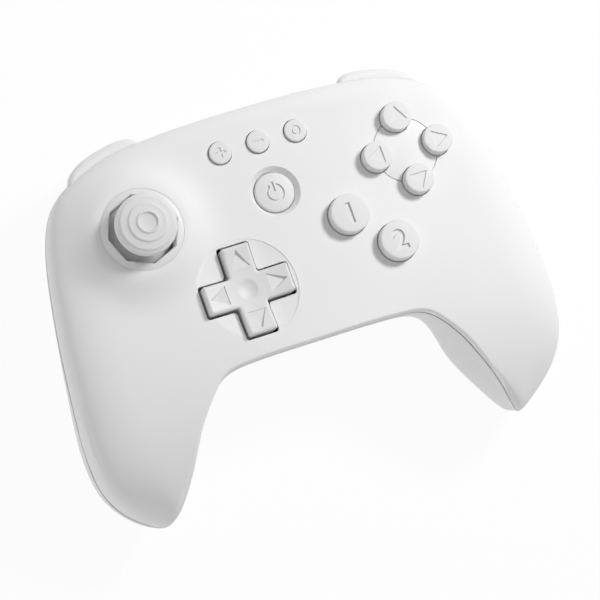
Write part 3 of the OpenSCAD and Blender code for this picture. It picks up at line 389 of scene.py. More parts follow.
# moulded ABS with a fine eroded texture: an even, almost shineless white
# its grain is drawn at 0.5 mm, coarser than the real one, so that it shows
shellAbs = surfaceFinish("moulded white ABS, eroded texture", {
    "colour": "#ebebeb", "shade": "#e6e6e6", "grain": 0.5, "drift": 45, "roughness": 0.7, "vary": 0.05,
    "bump": 0.12, "depth": 0.03})
# polished-mould ABS of the keys: a little smoother than the shells, with a soft sheen
keyAbs = surfaceFinish("moulded white ABS, smooth", {
    "colour": "#dedede", "shade": "#dadada", "grain": 0.6, "drift": 20, "roughness": 0.46, "vary": 0.04,
    "bump": 0.06, "depth": 0.02})
# hard gate ring: slightly greyer, so that it parts from the shell
gateAbs = surfaceFinish("moulded pale ABS, smooth", {
    "colour": "#e2e2e3", "shade": "#dededf", "grain": 0.5, "drift": 18, "roughness": 0.42, "vary": 0.05,
    "bump": 0.08, "depth": 0.02})
# soft-touch rubber of the stick: no gloss
stickRubber = surfaceFinish("soft-touch rubber, moulded", {
    "colour": "#dedede", "shade": "#dadada", "grain": 0.45, "drift": 15, "roughness": 0.68, "vary": 0.05,
    "bump": 0.12, "depth": 0.02, "ior": 1.45})
# silicone of the contact pads: milky grey and dull
silicone = surfaceFinish("silicone, moulded", {
    "colour": "#c4c8cb", "shade": "#b9bec1", "grain": 0.8, "drift": 12, "roughness": 0.6, "vary": 0.06,
    "bump": 0.1, "depth": 0.03, "ior": 1.42})
# frosted polycarbonate of the light pipe: a cool grey with a faint shine in the slits
lightGuide = surfaceFinish("frosted polycarbonate, moulded", {
    "colour": "#b9bcc0", "shade": "#a9adb2", "grain": 0.4, "drift": 4, "roughness": 0.35, "vary": 0.05,
    "bump": 0.05, "depth": 0.01, "ior": 1.58})
# glass-filled nylon of brackets and housings: a flat near-black that keeps the gaps dark
darkNylon = surfaceFinish("black glass-filled nylon, moulded", {
    "colour": "#33363a", "shade": "#292b2f", "grain": 0.5, "drift": 10, "roughness": 0.55, "vary": 0.08,
    "bump": 0.15, "depth": 0.03, "ior": 1.53})
# drawn steel of pins, springs and screws: a soft grey metal shine
drawnSteel = surfaceFinish("drawn steel wire and bar", {
    "colour": "#b4b7bb", "shade": "#a4a8ad", "grain": 0.3, "drift": 5, "roughness": 0.33, "vary": 0.08,
    "bump": 0.06, "depth": 0.01, "metallic": 1})
# nickel plating of the socket: a brighter and clearer metal
platedSteel = surfaceFinish("nickel-plated stamped steel", {
    "colour": "#c6c8ca", "shade": "#b5b8bb", "grain": 0.4, "drift": 4, "roughness": 0.26, "vary": 0.06,
    "bump": 0.04, "depth": 0.01, "metallic": 1})
# solder mask over glass laminate: a deep green with a lacquer shine
boardMask = surfaceFinish("solder-masked glass laminate", {
    "colour": "#245a3c", "shade": "#1d4a31", "grain": 0.7, "drift": 14, "roughness": 0.34, "vary": 0.06,
    "bump": 0.08, "depth": 0.02, "ior": 1.55})
# foil pouch of the battery: dull silver with small creases
pouchFoil = surfaceFinish("aluminium foil pouch", {
    "colour": "#a6aaae", "shade": "#94999e", "grain": 1.2, "drift": 9, "roughness": 0.4, "vary": 0.08,
    "bump": 0.25, "depth": 0.06, "metallic": 1})
# foam tape under the battery: black with open pores and no shine
closedFoam = surfaceFinish("closed-cell foam tape", {
    "colour": "#2b2b2d", "shade": "#222224", "grain": 0.5, "drift": 6, "roughness": 0.85, "vary": 0.05,
    "bump": 0.4, "depth": 0.08, "ior": 1.4})
print("materials ready")


def keep(obj, bodyName, nodes, material, smooth=32, inFace=True):
    if inFace:
        obj.data.transform(faceToRow)
        obj.data.update()
    only(obj)
    bpy.ops.object.shade_smooth_by_angle(angle=math.radians(smooth))
    obj.data.materials.clear()
    obj.data.materials.append(material)
    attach(obj, bodyName)
    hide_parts(*nodes)
    return obj


# bumper bar, which also cuts its own window in both shells
bumper = {"x": 44.6, "length": 24, "bulge": 3.15, "height": 6, "top": -6.4, "deep": 4.5, "nose": 0.8,
          "flat": 0.4, "gap": 0.45, "room": 1.8, "pin": (27.5, 20.5), "boss": 2.2, "bore": 0.95,
          "armLength": 7, "armFront": 3.6, "armStep": 1}


def bumperBar(name, side, grow=0.0, shiftY=0.0, steps=44, around=48):
    clearSelection()
    half = bumper["length"] / 2 + grow
    bpy.ops.mesh.primitive_cylinder_add(vertices=around, radius=1, depth=2, rotation=(0, math.radians(90), 0))
    obj = settle(active(name))
    bpy.ops.object.mode_set(mode="EDIT")
    for i in range(1, steps):
        bpy.ops.mesh.select_all(action="SELECT")
        bpy.ops.mesh.bisect(plane_co=(2 * i / steps - 1, 0, 0), plane_no=(1, 0, 0))
    leaveEdit()
    radius = bumper["height"] / 2 + grow
    middle = bumper["top"] - bumper["height"] / 2
    for vertex in obj.data.vertices:
        u = math.sin(vertex.co.x * math.pi / 2)
        angle = math.degrees(math.atan2(vertex.co.z, vertex.co.y))
        x = bumper["x"] + half * u
        edge = outlineAt(sweepAngle(x))[0]
        share = abs(half * u / (bumper["length"] / 2))
        out = edge + bumper["bulge"] * math.sqrt(max(0, 1 - share ** 4)) + grow
        inner = edge - bumper["deep"] - grow
        if abs(angle) <= 90:
            y = out - radius * (1 - math.cos(math.radians(angle))) * bumper["nose"]
            z = middle + radius * math.sin(math.radians(angle))
        else:
            turn = (180 - abs(angle)) / 90  # 1 at the top edge, 0 in the middle of the inner face
            back = max(0, (turn - bumper["flat"]) / (1 - bumper["flat"]))
            y = inner + (out - radius * bumper["nose"] - inner) * back
            z = middle + math.copysign(radius * min(1, turn / bumper["flat"]), angle)
        vertex.co = (side * x * mm, (y + shiftY) * mm, z * mm)
    return outward(obj)


def bumperWindow(obj):
    for side in (-1, 1):
        combine(obj, bumperBar("windowBar", side, bumper["gap"]))
        combine(obj, bumperBar("windowRoom", side, bumper["gap"], -bumper["room"]))


# openings in the top edge, half in each shell, and the light slits in the bottom edge
ports = {"usbWidth": 8.94, "usbHeight": 3.16, "usbLength": 7.35, "usbGap": 0.5, "usbZ": -9.92,
         "usbBehind": 0.8, "usbRoom": 1, "usbCut": 18, "usbRound": 0.05, "pairX": 18, "pairZ": -9.5,
         "pairDiameter": 3.4, "pairGap": 0.25, "pairCut": 8, "lights": 4, "lightStart": -0.85,
         "lightPitch": 4.4, "lightWidth": 2, "lightHeight": 0.9, "lightZ": -15, "lightGap": 0.15,
         "lightOut": 3, "lightIn": 7}


def portOpenings(obj):
    width, height = (ports[key] + 2 * ports["usbGap"] for key in ("usbWidth", "usbHeight"))
    y0 = body["topY"] - ports["usbBehind"] - ports["usbLength"] - ports["usbRoom"]
    slot = block("usbSlot", (-width / 2, y0, ports["usbZ"] - height / 2),
                 (width / 2, y0 + ports["usbCut"], ports["usbZ"] + height / 2))
    roundEdges(slot, height / 2 - ports["usbRound"], 8, lambda a, b: abs(a.y - b.y) > 0.01)
    combine(obj, slot)
    bore = rod("pairBore", ports["pairX"], -ports["pairZ"], body["topY"] - ports["pairCut"],
               body["topY"] + ports["pairCut"], ports["pairDiameter"] / 2 + ports["pairGap"], segments=48)
    bore.data.transform(Matrix.Rotation(math.radians(-90), 4, "X"))
    combine(obj, bore)


# shells: a flat grid laid over the outline, given its wall, then cut
def shellGrid(name, back):
    clearSelection()
    bpy.ops.mesh.primitive_grid_add(x_subdivisions=body["columns"], y_subdivisions=body["rows"], size=2)
    obj = active(name)
    flat = np.zeros(len(obj.data.vertices) * 3)
    obj.data.vertices.foreach_get("co", flat)
    flat = flat.reshape(-1, 3)
    placed = np.zeros_like(flat)
    column = np.rint((flat[:, 0] + 1) / 2 * body["columns"]).astype(int)
    row = np.rint((flat[:, 1] + 1) / 2 * body["rows"]).astype(int)
    for i in range(body["columns"] + 1):
        s = sliceOf(body["sweepEnd"] * (2 * i / body["columns"] - 1))
        mine = column == i
        share = (1 - np.cos(math.pi * (flat[mine, 1] + 1) / 2)) / 2
        y = s["low"][0] + (s["high"][0] - s["low"][0]) * share
        if back:
            z = backZ(y, s)
            x = s["x"] + leanX(y, z, s)
        else:
            x = np.full_like(y, s["x"])
            z = frontZ(y, s)
            away = np.hypot(x - arrows["x"], y - arrows["y"]) / arrows["ring"]
            z = z + arrows["dome"] * np.maximum(0, 1 - away ** 2)
        if i in (0, body["columns"]):  # the ends close on the joint line
            z = jointZ(y, s) + (-0.5 if back else 0.5) * body["seamGap"]
        placed[mine] = np.stack([x, y, z], 1) * mm
    if back:
        sheet = np.zeros((body["rows"] + 1, body["columns"] + 1, 3))
        sheet[row, column] = placed
        for i in range(body["backSmooth"]):  # takes the corner off where the grip leaves the body
            beside = (sheet[:-2, 1:-1] + sheet[2:, 1:-1] + sheet[1:-1, :-2] + sheet[1:-1, 2:]) / 4
            sheet[1:-1, 1:-1] = (sheet[1:-1, 1:-1] + beside) / 2
        placed = sheet[row, column]
    obj.data.vertices.foreach_set("co", placed.ravel())
    obj.data.update()
    if back:
        editAll(obj)
        bpy.ops.mesh.flip_normals()
        leaveEdit()
    addModifier(obj, "SOLIDIFY", thickness=body["wall"] * mm, offset=-1, use_even_offset=False)
    return obj


# pieces in the face: the front cover takes its openings from the same sizes
gate = {"flats": 19.8, "rise": 1, "sleeve": 11.2, "sleeveDeep": 2.6, "seatDepth": 1.2, "seatCut": 9,
        "edgeDrop": 0.1, "gap": 0.03, "holeGap": 0.1, "bevel": 0.8, "bevelDeep": 0.5,
        "overlap": 0.05, "over": 0.3, "low": 4, "topRadius": 4, "rimWide": 2.2, "rimFade": 2, "rimLean": 0.98}
dpad = {"x": -18.2, "y": -25.7, "span": 27, "arm": 8.7, "up": 2.4, "corner": 0.7, "edge": 0.95, "gap": 0.8,
        "holeCorner": 1, "dish": 31, "dishDepth": 1.4, "hollow": 60, "hollowDeep": 2, "cutReach": 13,
        "cutPitch": 0.65, "dimpleRadius": 7, "dimpleDepth": 0.62, "flangeZ": -6.4, "flangeRadius": 10,
        "flangeThick": 1.1, "markRadius": 3.2, "markIn": 5.2, "markDepth": 0.5, "markRise": 0.05}
arrows = {"x": 43, "y": 0.8, "ring": 10, "diameter": 9, "up": 3.8, "rim": 0.4, "crown": 0.06, "dome": 1.3,
          "groove": 0.16, "grooveDepth": 0.5, "markRadius": 2.9, "markDepth": 0.45}
actions = {"x": 18.5, "y": -13.3, "step": 11.9, "diameter": 12, "up": 3.9, "rim": 0.45, "crown": 0.12,
           "markHeight": 5.8, "markDepth": 0.5}
centre = {"diameter": 12.2, "up": -0.4, "rim": 0.6, "crown": 0.3, "cone": 15.4, "coneDepth": 1.6,
          "coneOver": 0.2, "markRadius": 2.5, "markWide": 0.75, "markGap": 2, "markY": -0.3, "barLength": 3,
          "barY": 1.6, "markDepth": 0.5}
menus = {"diameter": 6.8, "up": 1, "rim": 0.3, "crown": 0.05, "pitch": 12.1, "y": 15.7, "barLength": 3.2,
         "barWide": 0.75, "markRadius": 1.2, "markWide": 0.55, "markDepth": 0.3}
keys = {"gap": 0.25, "flange": 1.1, "base": -8, "flangeThick": 1, "stem": 1, "wallShare": 1.1, "slip": 0.3,
        "segments": 96}
cut = {"low": -11, "high": 10}


def actionPlace(i):
    return actions["x"] + i * actions["step"], actions["y"] - i * actions["step"]


def arrowPlace(a):
    return (arrows["x"] + arrows["ring"] * math.cos(math.radians(a)),
            arrows["y"] + arrows["ring"] * math.sin(math.radians(a)))


def crossBlock(name, span, arm, z0, z1, corner):
    x, y = dpad["x"], dpad["y"]
    obj = block(name, (x - span / 2, y - arm / 2, z0), (x + span / 2, y + arm / 2, z1))
    combine(obj, block("crossArm", (x - arm / 2, y - span / 2, z0), (x + arm / 2, y + span / 2, z1)), "UNION")
    editAll(obj)
    bpy.ops.mesh.dissolve_limited(angle_limit=0.02)
    leaveEdit()
    return roundEdges(obj, corner, 4, lambda a, b: abs(a.z - b.z) > 0.5 * mm)


gateEdgeZ = float(faceSheet(-stick["x"], np.array(0.0))) - gate["edgeDrop"]
gateSeatZ = gateEdgeZ - gate["seatDepth"]


# thin ring that follows the face, to cut the parting groove
def grooveRing(x, y, radius, halfWide, deep):
    clearSelection()
    outer = rod("grooveRing", x, y, -1, 1, radius + halfWide, segments=160)
    inner = rod("grooveCore", x, y, -2, 2, radius - halfWide, segments=160)
    combine(outer, inner)
    for vertex in outer.data.vertices:
        px, py = vertex.co.x / mm, vertex.co.y / mm
        vertex.co.z = (faceAt(px, py) + (2 if vertex.co.z > 0 else -deep)) * mm
    return outer


def keyHole(obj, x, y, diameter, segments=96):
    combine(obj, rod("keyHole", x, y, cut["low"], cut["high"], diameter / 2 + keys["gap"], segments=segments))


def frontCover():
    obj = shellGrid("frontCover", False)
    combine(obj, rod("gateSeat", -stick["x"], 0, gateSeatZ, gateSeatZ + gate["seatCut"],
                     stick["gateRadius"] + gate["gap"], segments=128))
    combine(obj, rod("gateHole", -stick["x"], 0, cut["low"], cut["high"], gate["sleeve"] + gate["holeGap"],
                     segments=128))
    dishZ = faceAt(dpad["x"], dpad["y"])
    half = dpad["dish"] / 2
    radius = (half ** 2 + dpad["dishDepth"] ** 2) / (2 * dpad["dishDepth"])
    reach = math.degrees(math.asin(half / radius))
    bowl = arc(0, dishZ - dpad["dishDepth"] + radius, radius, -90 + reach, -90.0 + 0.2, 26)
    combine(obj, turnedPiece("dish", dpad["x"], dpad["y"], [(half, cut["high"])] + bowl, 160))
    combine(obj, crossBlock("crossHole", dpad["span"] + 2 * dpad["gap"], dpad["arm"] + 2 * dpad["gap"],
                            cut["low"], cut["high"], dpad["holeCorner"]))
    z0 = faceAt(0, 0)
    combine(obj, rod("centreCone", 0, 0, z0 - centre["coneDepth"], z0 + centre["coneOver"],
                     centre["diameter"] / 2 + keys["gap"], centre["cone"] / 2 + centre["coneOver"], 128))
    keyHole(obj, 0, 0, centre["diameter"], 128)
    for i in (-1, 0, 1):
        keyHole(obj, i * menus["pitch"], menus["y"], menus["diameter"])
    for i in (0, 1):
        keyHole(obj, *actionPlace(i), actions["diameter"])
    combine(obj, grooveRing(*(arrows[key] for key in ("x", "y", "ring", "groove", "grooveDepth"))))
    for a in range(0, 360, 90):
        keyHole(obj, *arrowPlace(a), arrows["diameter"])
    portOpenings(obj)
    bumperWindow(obj)
    return keep(obj, "case", ["front_shell"], shellAbs)


# trigger, whose window is cut in the back cover
trigger = {"x": 41, "width": 22, "wall": 1.87, "top": (26.8, -13.9), "bend": (27.5, -22),
           "tip": (30.8, -27.2), "sideIn": 0.9, "tipIn": 0.3, "edge": 0.5, "hinge": (14.5, -16.5),
           "boss": 2.6, "bossIn": 0.6, "bore": 1.05, "cheekIn": 4, "cheek": 1.8, "cheekBehind": 1.1,
           "cheekSpan": (0.02, 0.9), "cheekHeel": (7, -3.6), "cheekTop": -14.2, "windowRoom": 0.6,
           "windowTop": 1.3, "windowY": (17, 57), "windowLow": -60}
screws = {"places": [(20, 8), (38, -33)], "post": 3.4, "sunk": 0.6, "head": 4.4, "shank": 1.15,
          "boardLow": -12.7, "floor": 2, "headLow": -90, "shankCut": (-30, 10)}
table = {"x": 120, "y": 150, "deep": 30}


def backCover():
    obj = shellGrid("backCover", True)
    posts = [(side * x, y) for x, y in screws["places"] for side in (-1, 1)]
    for x, y in posts:
        low = backAt(x, y) + body["wall"] * screws["sunk"]
        combine(obj, rod("post", x, y, low, screws["boardLow"], screws["post"], segments=48), "UNION")
    half = trigger["width"] / 2 + trigger["windowRoom"]
    for side in (-1, 1):
        combine(obj, block("triggerWindow",
                           (side * trigger["x"] - half, trigger["windowY"][0], trigger["windowLow"]),
                           (side * trigger["x"] + half, trigger["windowY"][1],
                            trigger["top"][1] + trigger["windowTop"])))
    bumperWindow(obj)
    for x, y in posts:
        combine(obj, rod("headBore", x, y, screws["headLow"], screws["boardLow"] - screws["floor"],
                         screws["head"] / 2, segments=48))
        combine(obj, rod("screwBore", x, y, *screws["shankCut"], screws["shank"], segments=32))
    portOpenings(obj)
    width, height = (ports[key] / 2 + ports["lightGap"] for key in ("lightWidth", "lightHeight"))
    y0, y1 = -body["bottomY"] - ports["lightOut"], -body["bottomY"] + ports["lightIn"]
    for i in range(ports["lights"]):
        x = ports["lightPitch"] * (i + ports["lightStart"])
        combine(obj, block("lightSlit", (x - width, y0, ports["lightZ"] - height),
                           (x + width, y1, ports["lightZ"] + height)))
    obj.data.transform(faceToRow)
    combine(obj, block("tableCut", (-table["x"], -table["y"], -table["deep"]), (table["x"], table["y"], 0)))
    return keep(obj, "case", ["back_shell"], shellAbs, inFace=False)


frontCover()
print("front cover ready")
backCover()
print("back cover ready")


# gate ring of the stick; its rim lies flush in the mound, which slopes with the face
def gateRing():
    radius, edge, up, sleeve = stick["gateRadius"], gateEdgeZ, gate["rise"], gate["sleeve"]
    profile = [(sleeve, gateSeatZ - gate["sleeveDeep"]), (sleeve, gateSeatZ), (radius, gateSeatZ),
               (radius, edge), (radius - 1, edge + up * 0.6), (radius - 2, edge + up * 0.9),
               (gate["topRadius"], edge + up)]
    obj = turnedPiece("gateRing", -stick["x"], 0, profile, 128)
    level = faceSheet(-stick["x"], 0.0)
    for vertex in obj.data.vertices:
        x, y, z = vertex.co / mm
        if z > gateSeatZ + 0.1:
            near = ease((math.hypot(x + stick["x"], y) - radius + gate["rimWide"]) / gate["rimFade"])
            vertex.co.z += float(near * (faceSheet(x, y * gate["rimLean"]) - level)) * mm
    corner = gate["flats"] / 2 / math.cos(math.radians(22.5))
    low = edge + up - gate["bevelDeep"]
    opening = rod("gateOpening", 0, 0, gateSeatZ - gate["low"], low + gate["overlap"], corner, segments=8)
    bevelled = rod("gateBevel", 0, 0, low, edge + up + gate["over"], corner, corner + gate["bevel"], 8)
    for cutter in (opening, bevelled):
        cutter.data.transform(Matrix.Translation((-stick["x"] * mm, 0, 0)))
        combine(obj, cutter)
    return keep(obj, "case", ["stick_gate_ring"], gateAbs, 25)


# thumb cap with three raised rings and a round skirt that turns about the pivot
cap = {"diameter": 18.4, "top": 13.18, "height": 5.3, "rings": (7.85, 5.5, 3.1), "neck": 4.6, "skirt": 12,
       "skirtThick": 1.2, "skirtSpan": (66, 18), "skirtEnd": 86}


def stickTop():
    top, (r0, r1, r2), side, neck = cap["top"], cap["rings"], cap["diameter"] / 2, cap["neck"]
    low = top - cap["height"]
    start, end = cap["skirtSpan"]
    skirtOut = arc(0, stick["pivot"], cap["skirt"], start, end, 16)
    skirtIn = arc(0, stick["pivot"], cap["skirt"] - cap["skirtThick"], end, cap["skirtEnd"], 16)
    steps = [(0.3, top - 0.62), (r2 - 0.75, top - 0.6), (r2 - 0.5, top - 0.5), (r2 - 0.35, top - 0.18),
             (r2 - 0.15, top), (r2 + 0.15, top - 0.02), (r2 + 0.35, top - 0.2), (r2 + 0.55, top - 0.48),
             (r1 - 0.85, top - 0.66), (r1 - 0.5, top - 0.64), (r1 - 0.2, top - 0.62), (r1 + 0.1, top - 0.7),
             (r1 + 0.3, top - 0.95), (r1 + 0.5, top - 1.2), (r0 - 0.85, top - 1.52), (r0 - 0.45, top - 1.54),
             (r0 - 0.2, top - 1.58), (r0 + 0.1, top - 1.68), (r0 + 0.3, top - 1.95), (r0 + 0.5, top - 2.15),
             (side - 0.6, top - 2.42), (side - 0.25, top - 2.58), (side - 0.07, top - 2.82),
             (side, top - 3.1), (side, low + 0.5), (side - 0.2, low + 0.15), (side - 0.6, low),
             (neck + 0.6, low), (neck, low - 0.5)]
    obj = turnedPiece("stickTop", -stick["x"], 0, steps + skirtOut + skirtIn, 128)
    return keep(obj, "stick", ["stick_cap"], stickRubber, 28)


gateRing()
stickTop()
print("stick ready")


# round keys: stem, flange under the wall, straight side, rounded rim and a low crown
def roundKey(name, x, y, look):
    r, rim, crown = look["diameter"] / 2, look["rim"], look["crown"]
    top = faceAt(x, y) + look["up"]
    flange = r + keys["flange"]
    low = min(faceAt(x + flange * math.cos(a), y + flange * math.sin(a))
              for a in np.linspace(0, 2 * math.pi, 13))
    stop = low - body["wall"] * keys["wallShare"] - keys["slip"]
    profile = [(r - keys["stem"], keys["base"]), (r - keys["stem"], stop - keys["flangeThick"]),
               (flange, stop - keys["flangeThick"]), (flange, stop), (r, stop)]
    edge = arc(r - rim, top - crown - rim, rim, 0, 84, 9)
    crownLine = [((r - rim) * k, top - crown * k * k) for k in (0.93, 0.8, 0.6, 0.4, 0.2, 0.02)]
    return turnedPiece(name, x, y, profile + edge + crownLine, keys["segments"]), top


# sunk marks; sloped walls catch the light, as in a moulded mark
marks = {"flare": 0.35, "chamfer": 0.15, "bold": 0.16, "heightShare": 0.7, "textHalf": 1.0, "reach": 3}


def sinkText(obj, text, x, y, top, height, deep):
    clearSelection()
    bpy.ops.object.text_add()
    letter = bpy.context.object
    letter.data.body = text
    letter.data.align_x = letter.data.align_y = "CENTER"
    letter.data.size = height / marks["heightShare"] * mm
    letter.data.extrude = marks["textHalf"] * mm
    letter.data.offset = marks["bold"] * mm
    letter.data.bevel_depth = marks["chamfer"] * mm
    letter.data.bevel_resolution = 0
    letter.data.resolution_u = 6
    only(letter)
    bpy.ops.object.convert(target="MESH")
    letter = outward(bpy.context.object, 1e-7)
    xs = [v.co.x for v in letter.data.vertices]
    ys = [v.co.y for v in letter.data.vertices]
    shift = Vector((x * mm - (min(xs) + max(xs)) / 2, y * mm - (min(ys) + max(ys)) / 2,
                    (top - deep + marks["textHalf"]) * mm))
    letter.data.transform(Matrix.Translation(shift))
    return combine(obj, letter, solver="EXACT")


def sinkArrow(obj, x, y, a, top, radius, deep):
    wider = marks["flare"] / deep * (deep + marks["reach"])
    tri = rod("arrowSink", 0, 0, top - deep, top + marks["reach"], radius, radius + wider, 3)
    first = tri.data.vertices[0].co
    spin = Matrix.Rotation(math.radians(a) - math.atan2(first.y, first.x), 4, "Z")
    tri.data.transform(Matrix.Translation((x * mm, y * mm, 0)) @ spin)
    return combine(obj, tri, solver="EXACT")


def sinkBar(obj, x, y, top, width, length, deep):
    bar = block("barSink", (x - width / 2, y - length / 2, top - deep),
                (x + width / 2, y + length / 2, top + marks["reach"]))
    return combine(obj, bar, solver="EXACT")


def sinkRing(obj, x, y, top, radius, wide, deep, gap=0):
    low, high = top - deep - 1, top + marks["reach"] + 1
    outer = rod("ringSink", x, y, top - deep, top + marks["reach"], radius + wide / 2, segments=64)
    combine(outer, rod("ringCore", x, y, low, high, radius - wide / 2, segments=64))
    if gap:
        combine(outer, block("ringGap", (x - gap / 2, y, low), (x + gap / 2, y + 2 * radius, high)))
    return combine(obj, outer, solver="EXACT")


def keepKey(obj, node):
    return keep(obj, node, [node], keyAbs, 30)


for i, name in enumerate(("One", "Two")):
    x, y = actionPlace(i)
    key, top = roundKey("actionKey" + name, x, y, actions)
    sinkText(key, str(i + 1), x, y, top, actions["markHeight"], actions["markDepth"])
    keepKey(key, "action_button_" + str(i + 1))
for a, name in ((90, "up"), (270, "down"), (180, "left"), (0, "right")):
    x, y = arrowPlace(a)
    key, top = roundKey("arrowKey" + name.title(), x, y, arrows)
    sinkArrow(key, x, y, a, top, arrows["markRadius"], arrows["markDepth"])
    keepKey(key, "arrow_button_" + name)
key, top = roundKey("centreKey", 0, 0, centre)
sinkRing(key, 0, centre["markY"], top, centre["markRadius"], centre["markWide"], centre["markDepth"],
         centre["markGap"])
sinkBar(key, 0, centre["barY"], top, centre["markWide"], centre["barLength"], centre["markDepth"])
keepKey(key, "centre_button")
for i, name in ((-1, "left"), (0, "middle"), (1, "right")):
    x, y = i * menus["pitch"], menus["y"]
    key, top = roundKey("menuKey" + name.title(), x, y, menus)
    if name == "right":
        sinkRing(key, x, y, top, menus["markRadius"], menus["markWide"], menus["markDepth"])
    else:
        sinkBar(key, x, y, top, menus["barLength"], menus["barWide"], menus["markDepth"])
    if name == "left":
        sinkBar(key, x, y, top, menus["barWide"], menus["barLength"], menus["markDepth"])
    keepKey(key, "menu_button_" + name)
print("keys ready")


# directional pad: a cross that sinks to its middle, with a thumb dimple and a mark on each arm
def dpadCross():
    x, y, half = dpad["x"], dpad["y"], dpad["span"] / 2
    top = faceAt(x, y) + dpad["up"]
    obj = crossBlock("dpadCross", dpad["span"], dpad["arm"], dpad["flangeZ"], top, dpad["corner"])
    roundEdges(obj, dpad["edge"], 6, lambda a, b: min(a.z, b.z) > (top - 0.01) * mm)
    only(obj)
    bpy.ops.object.mode_set(mode="EDIT")
    for k in np.arange(-dpad["cutReach"], dpad["cutReach"] + 0.1, dpad["cutPitch"]):
        for axis in (0, 1):
            bpy.ops.mesh.select_all(action="SELECT")
            at = Vector((x * mm, y * mm, 0))
            at[axis] += k * mm
            bpy.ops.mesh.bisect(plane_co=at, plane_no=(1 - axis, axis, 0))
    leaveEdit()
    sink = dpad["span"] ** 2 / 8 / dpad["hollow"]
    for vertex in obj.data.vertices:
        away = math.hypot(vertex.co.x / mm - x, vertex.co.y / mm - y) / half
        share = np.clip((vertex.co.z / mm - (top - dpad["hollowDeep"])) / dpad["hollowDeep"], 0, 1)
        vertex.co.z -= sink * (1 - min(1, away) ** 2) * share * mm
    combine(obj, rod("dpadFlange", x, y, dpad["flangeZ"], dpad["flangeZ"] + dpad["flangeThick"],
                     dpad["flangeRadius"]), "UNION")
    ball = top - sink - dpad["dimpleDepth"] + dpad["dimpleRadius"]
    clearSelection()
    bpy.ops.mesh.primitive_uv_sphere_add(segments=64, ring_count=48, radius=dpad["dimpleRadius"] * mm,
                                         location=(x * mm, y * mm, ball * mm))
    combine(obj, settle(active("dimple")))
    out = half - dpad["markIn"]
    markTop = top - sink * (1 - (out / half) ** 2) + dpad["markRise"]
    for a in range(0, 360, 90):
        sinkArrow(obj, x + out * math.cos(math.radians(a)), y + out * math.sin(math.radians(a)), a, markTop,
                  dpad["markRadius"], dpad["markDepth"])
    return keep(obj, "dpad", ["dpad"], keyAbs, 30)


dpadCross()
print("directional pad ready")


# shoulders: a bumper on an upright pin and a trigger on a level one, on each side
def bumperPiece(side, name):
    obj = bumperBar("bumper" + name.title(), side)
    px, py = bumper["pin"]
    z0, z1 = bumper["top"] - bumper["height"], bumper["top"]
    x0, x1 = sorted((side * px, side * (px + bumper["armLength"])))
    arm = block("bumperArm", (x0, py - bumper["boss"], z0),
                (x1, py + bumper["armFront"], z1 - bumper["armStep"]))
    combine(arm, rod("bumperBoss", side * px, py, z0, z1, bumper["boss"], segments=48), "UNION")
    combine(obj, arm, "UNION")
    combine(obj, rod("bumperBore", side * px, py, z0 - 1, z1 + 1, bumper["bore"], segments=32))
    return keep(obj, "bumper_" + name, ["bumper_" + name], shellAbs, 40)


def curvePoint(t):  # [y, z] down the finger surface
    a, b, c = (np.array(trigger[k]) for k in ("top", "bend", "tip"))
    return a * (1 - t) ** 2 + b * 2 * t * (1 - t) + c * t * t


def triggerBack(x):  # the finger plate follows the top edge in plan
    return outlineAt(sweepAngle(x))[0] - outlineAt(sweepAngle(trigger["x"]))[0]


def outwardFacing(obj):  # open sheet: faces to the shoulder side, +Y
    total = sum(p.normal.y * p.area for p in obj.data.polygons)
    if total < 0:
        obj.data.flip_normals()


def cheekPlate(x):  # side plate from the finger surface back to the hinge
    hy, hz = trigger["hinge"]
    behind = triggerBack(x + trigger["cheek"] / 2) - trigger["cheekBehind"]
    front = [tuple(curvePoint(t) + (behind, 0)) for t in np.linspace(*trigger["cheekSpan"], 10)]
    heel = (hy + trigger["cheekHeel"][0], hz + trigger["cheekHeel"][1])
    ring = front + [heel, (hy, hz - trigger["boss"]), (hy, trigger["cheekTop"])]
    clearSelection()
    bpy.ops.mesh.primitive_circle_add(vertices=len(ring), radius=1 * mm, fill_type="NGON")
    obj = settle(active("cheekPlate"))
    for vertex, (y, z) in zip(obj.data.vertices, ring):
        vertex.co = (x * mm, y * mm, z * mm)
    editAll(obj)
    bpy.ops.mesh.extrude_region_move(TRANSFORM_OT_translate={"value": (trigger["cheek"] * mm, 0, 0)})
    bpy.ops.mesh.select_all(action="SELECT")
    bpy.ops.mesh.quads_convert_to_tris()
    leaveEdit()
    return outward(obj)


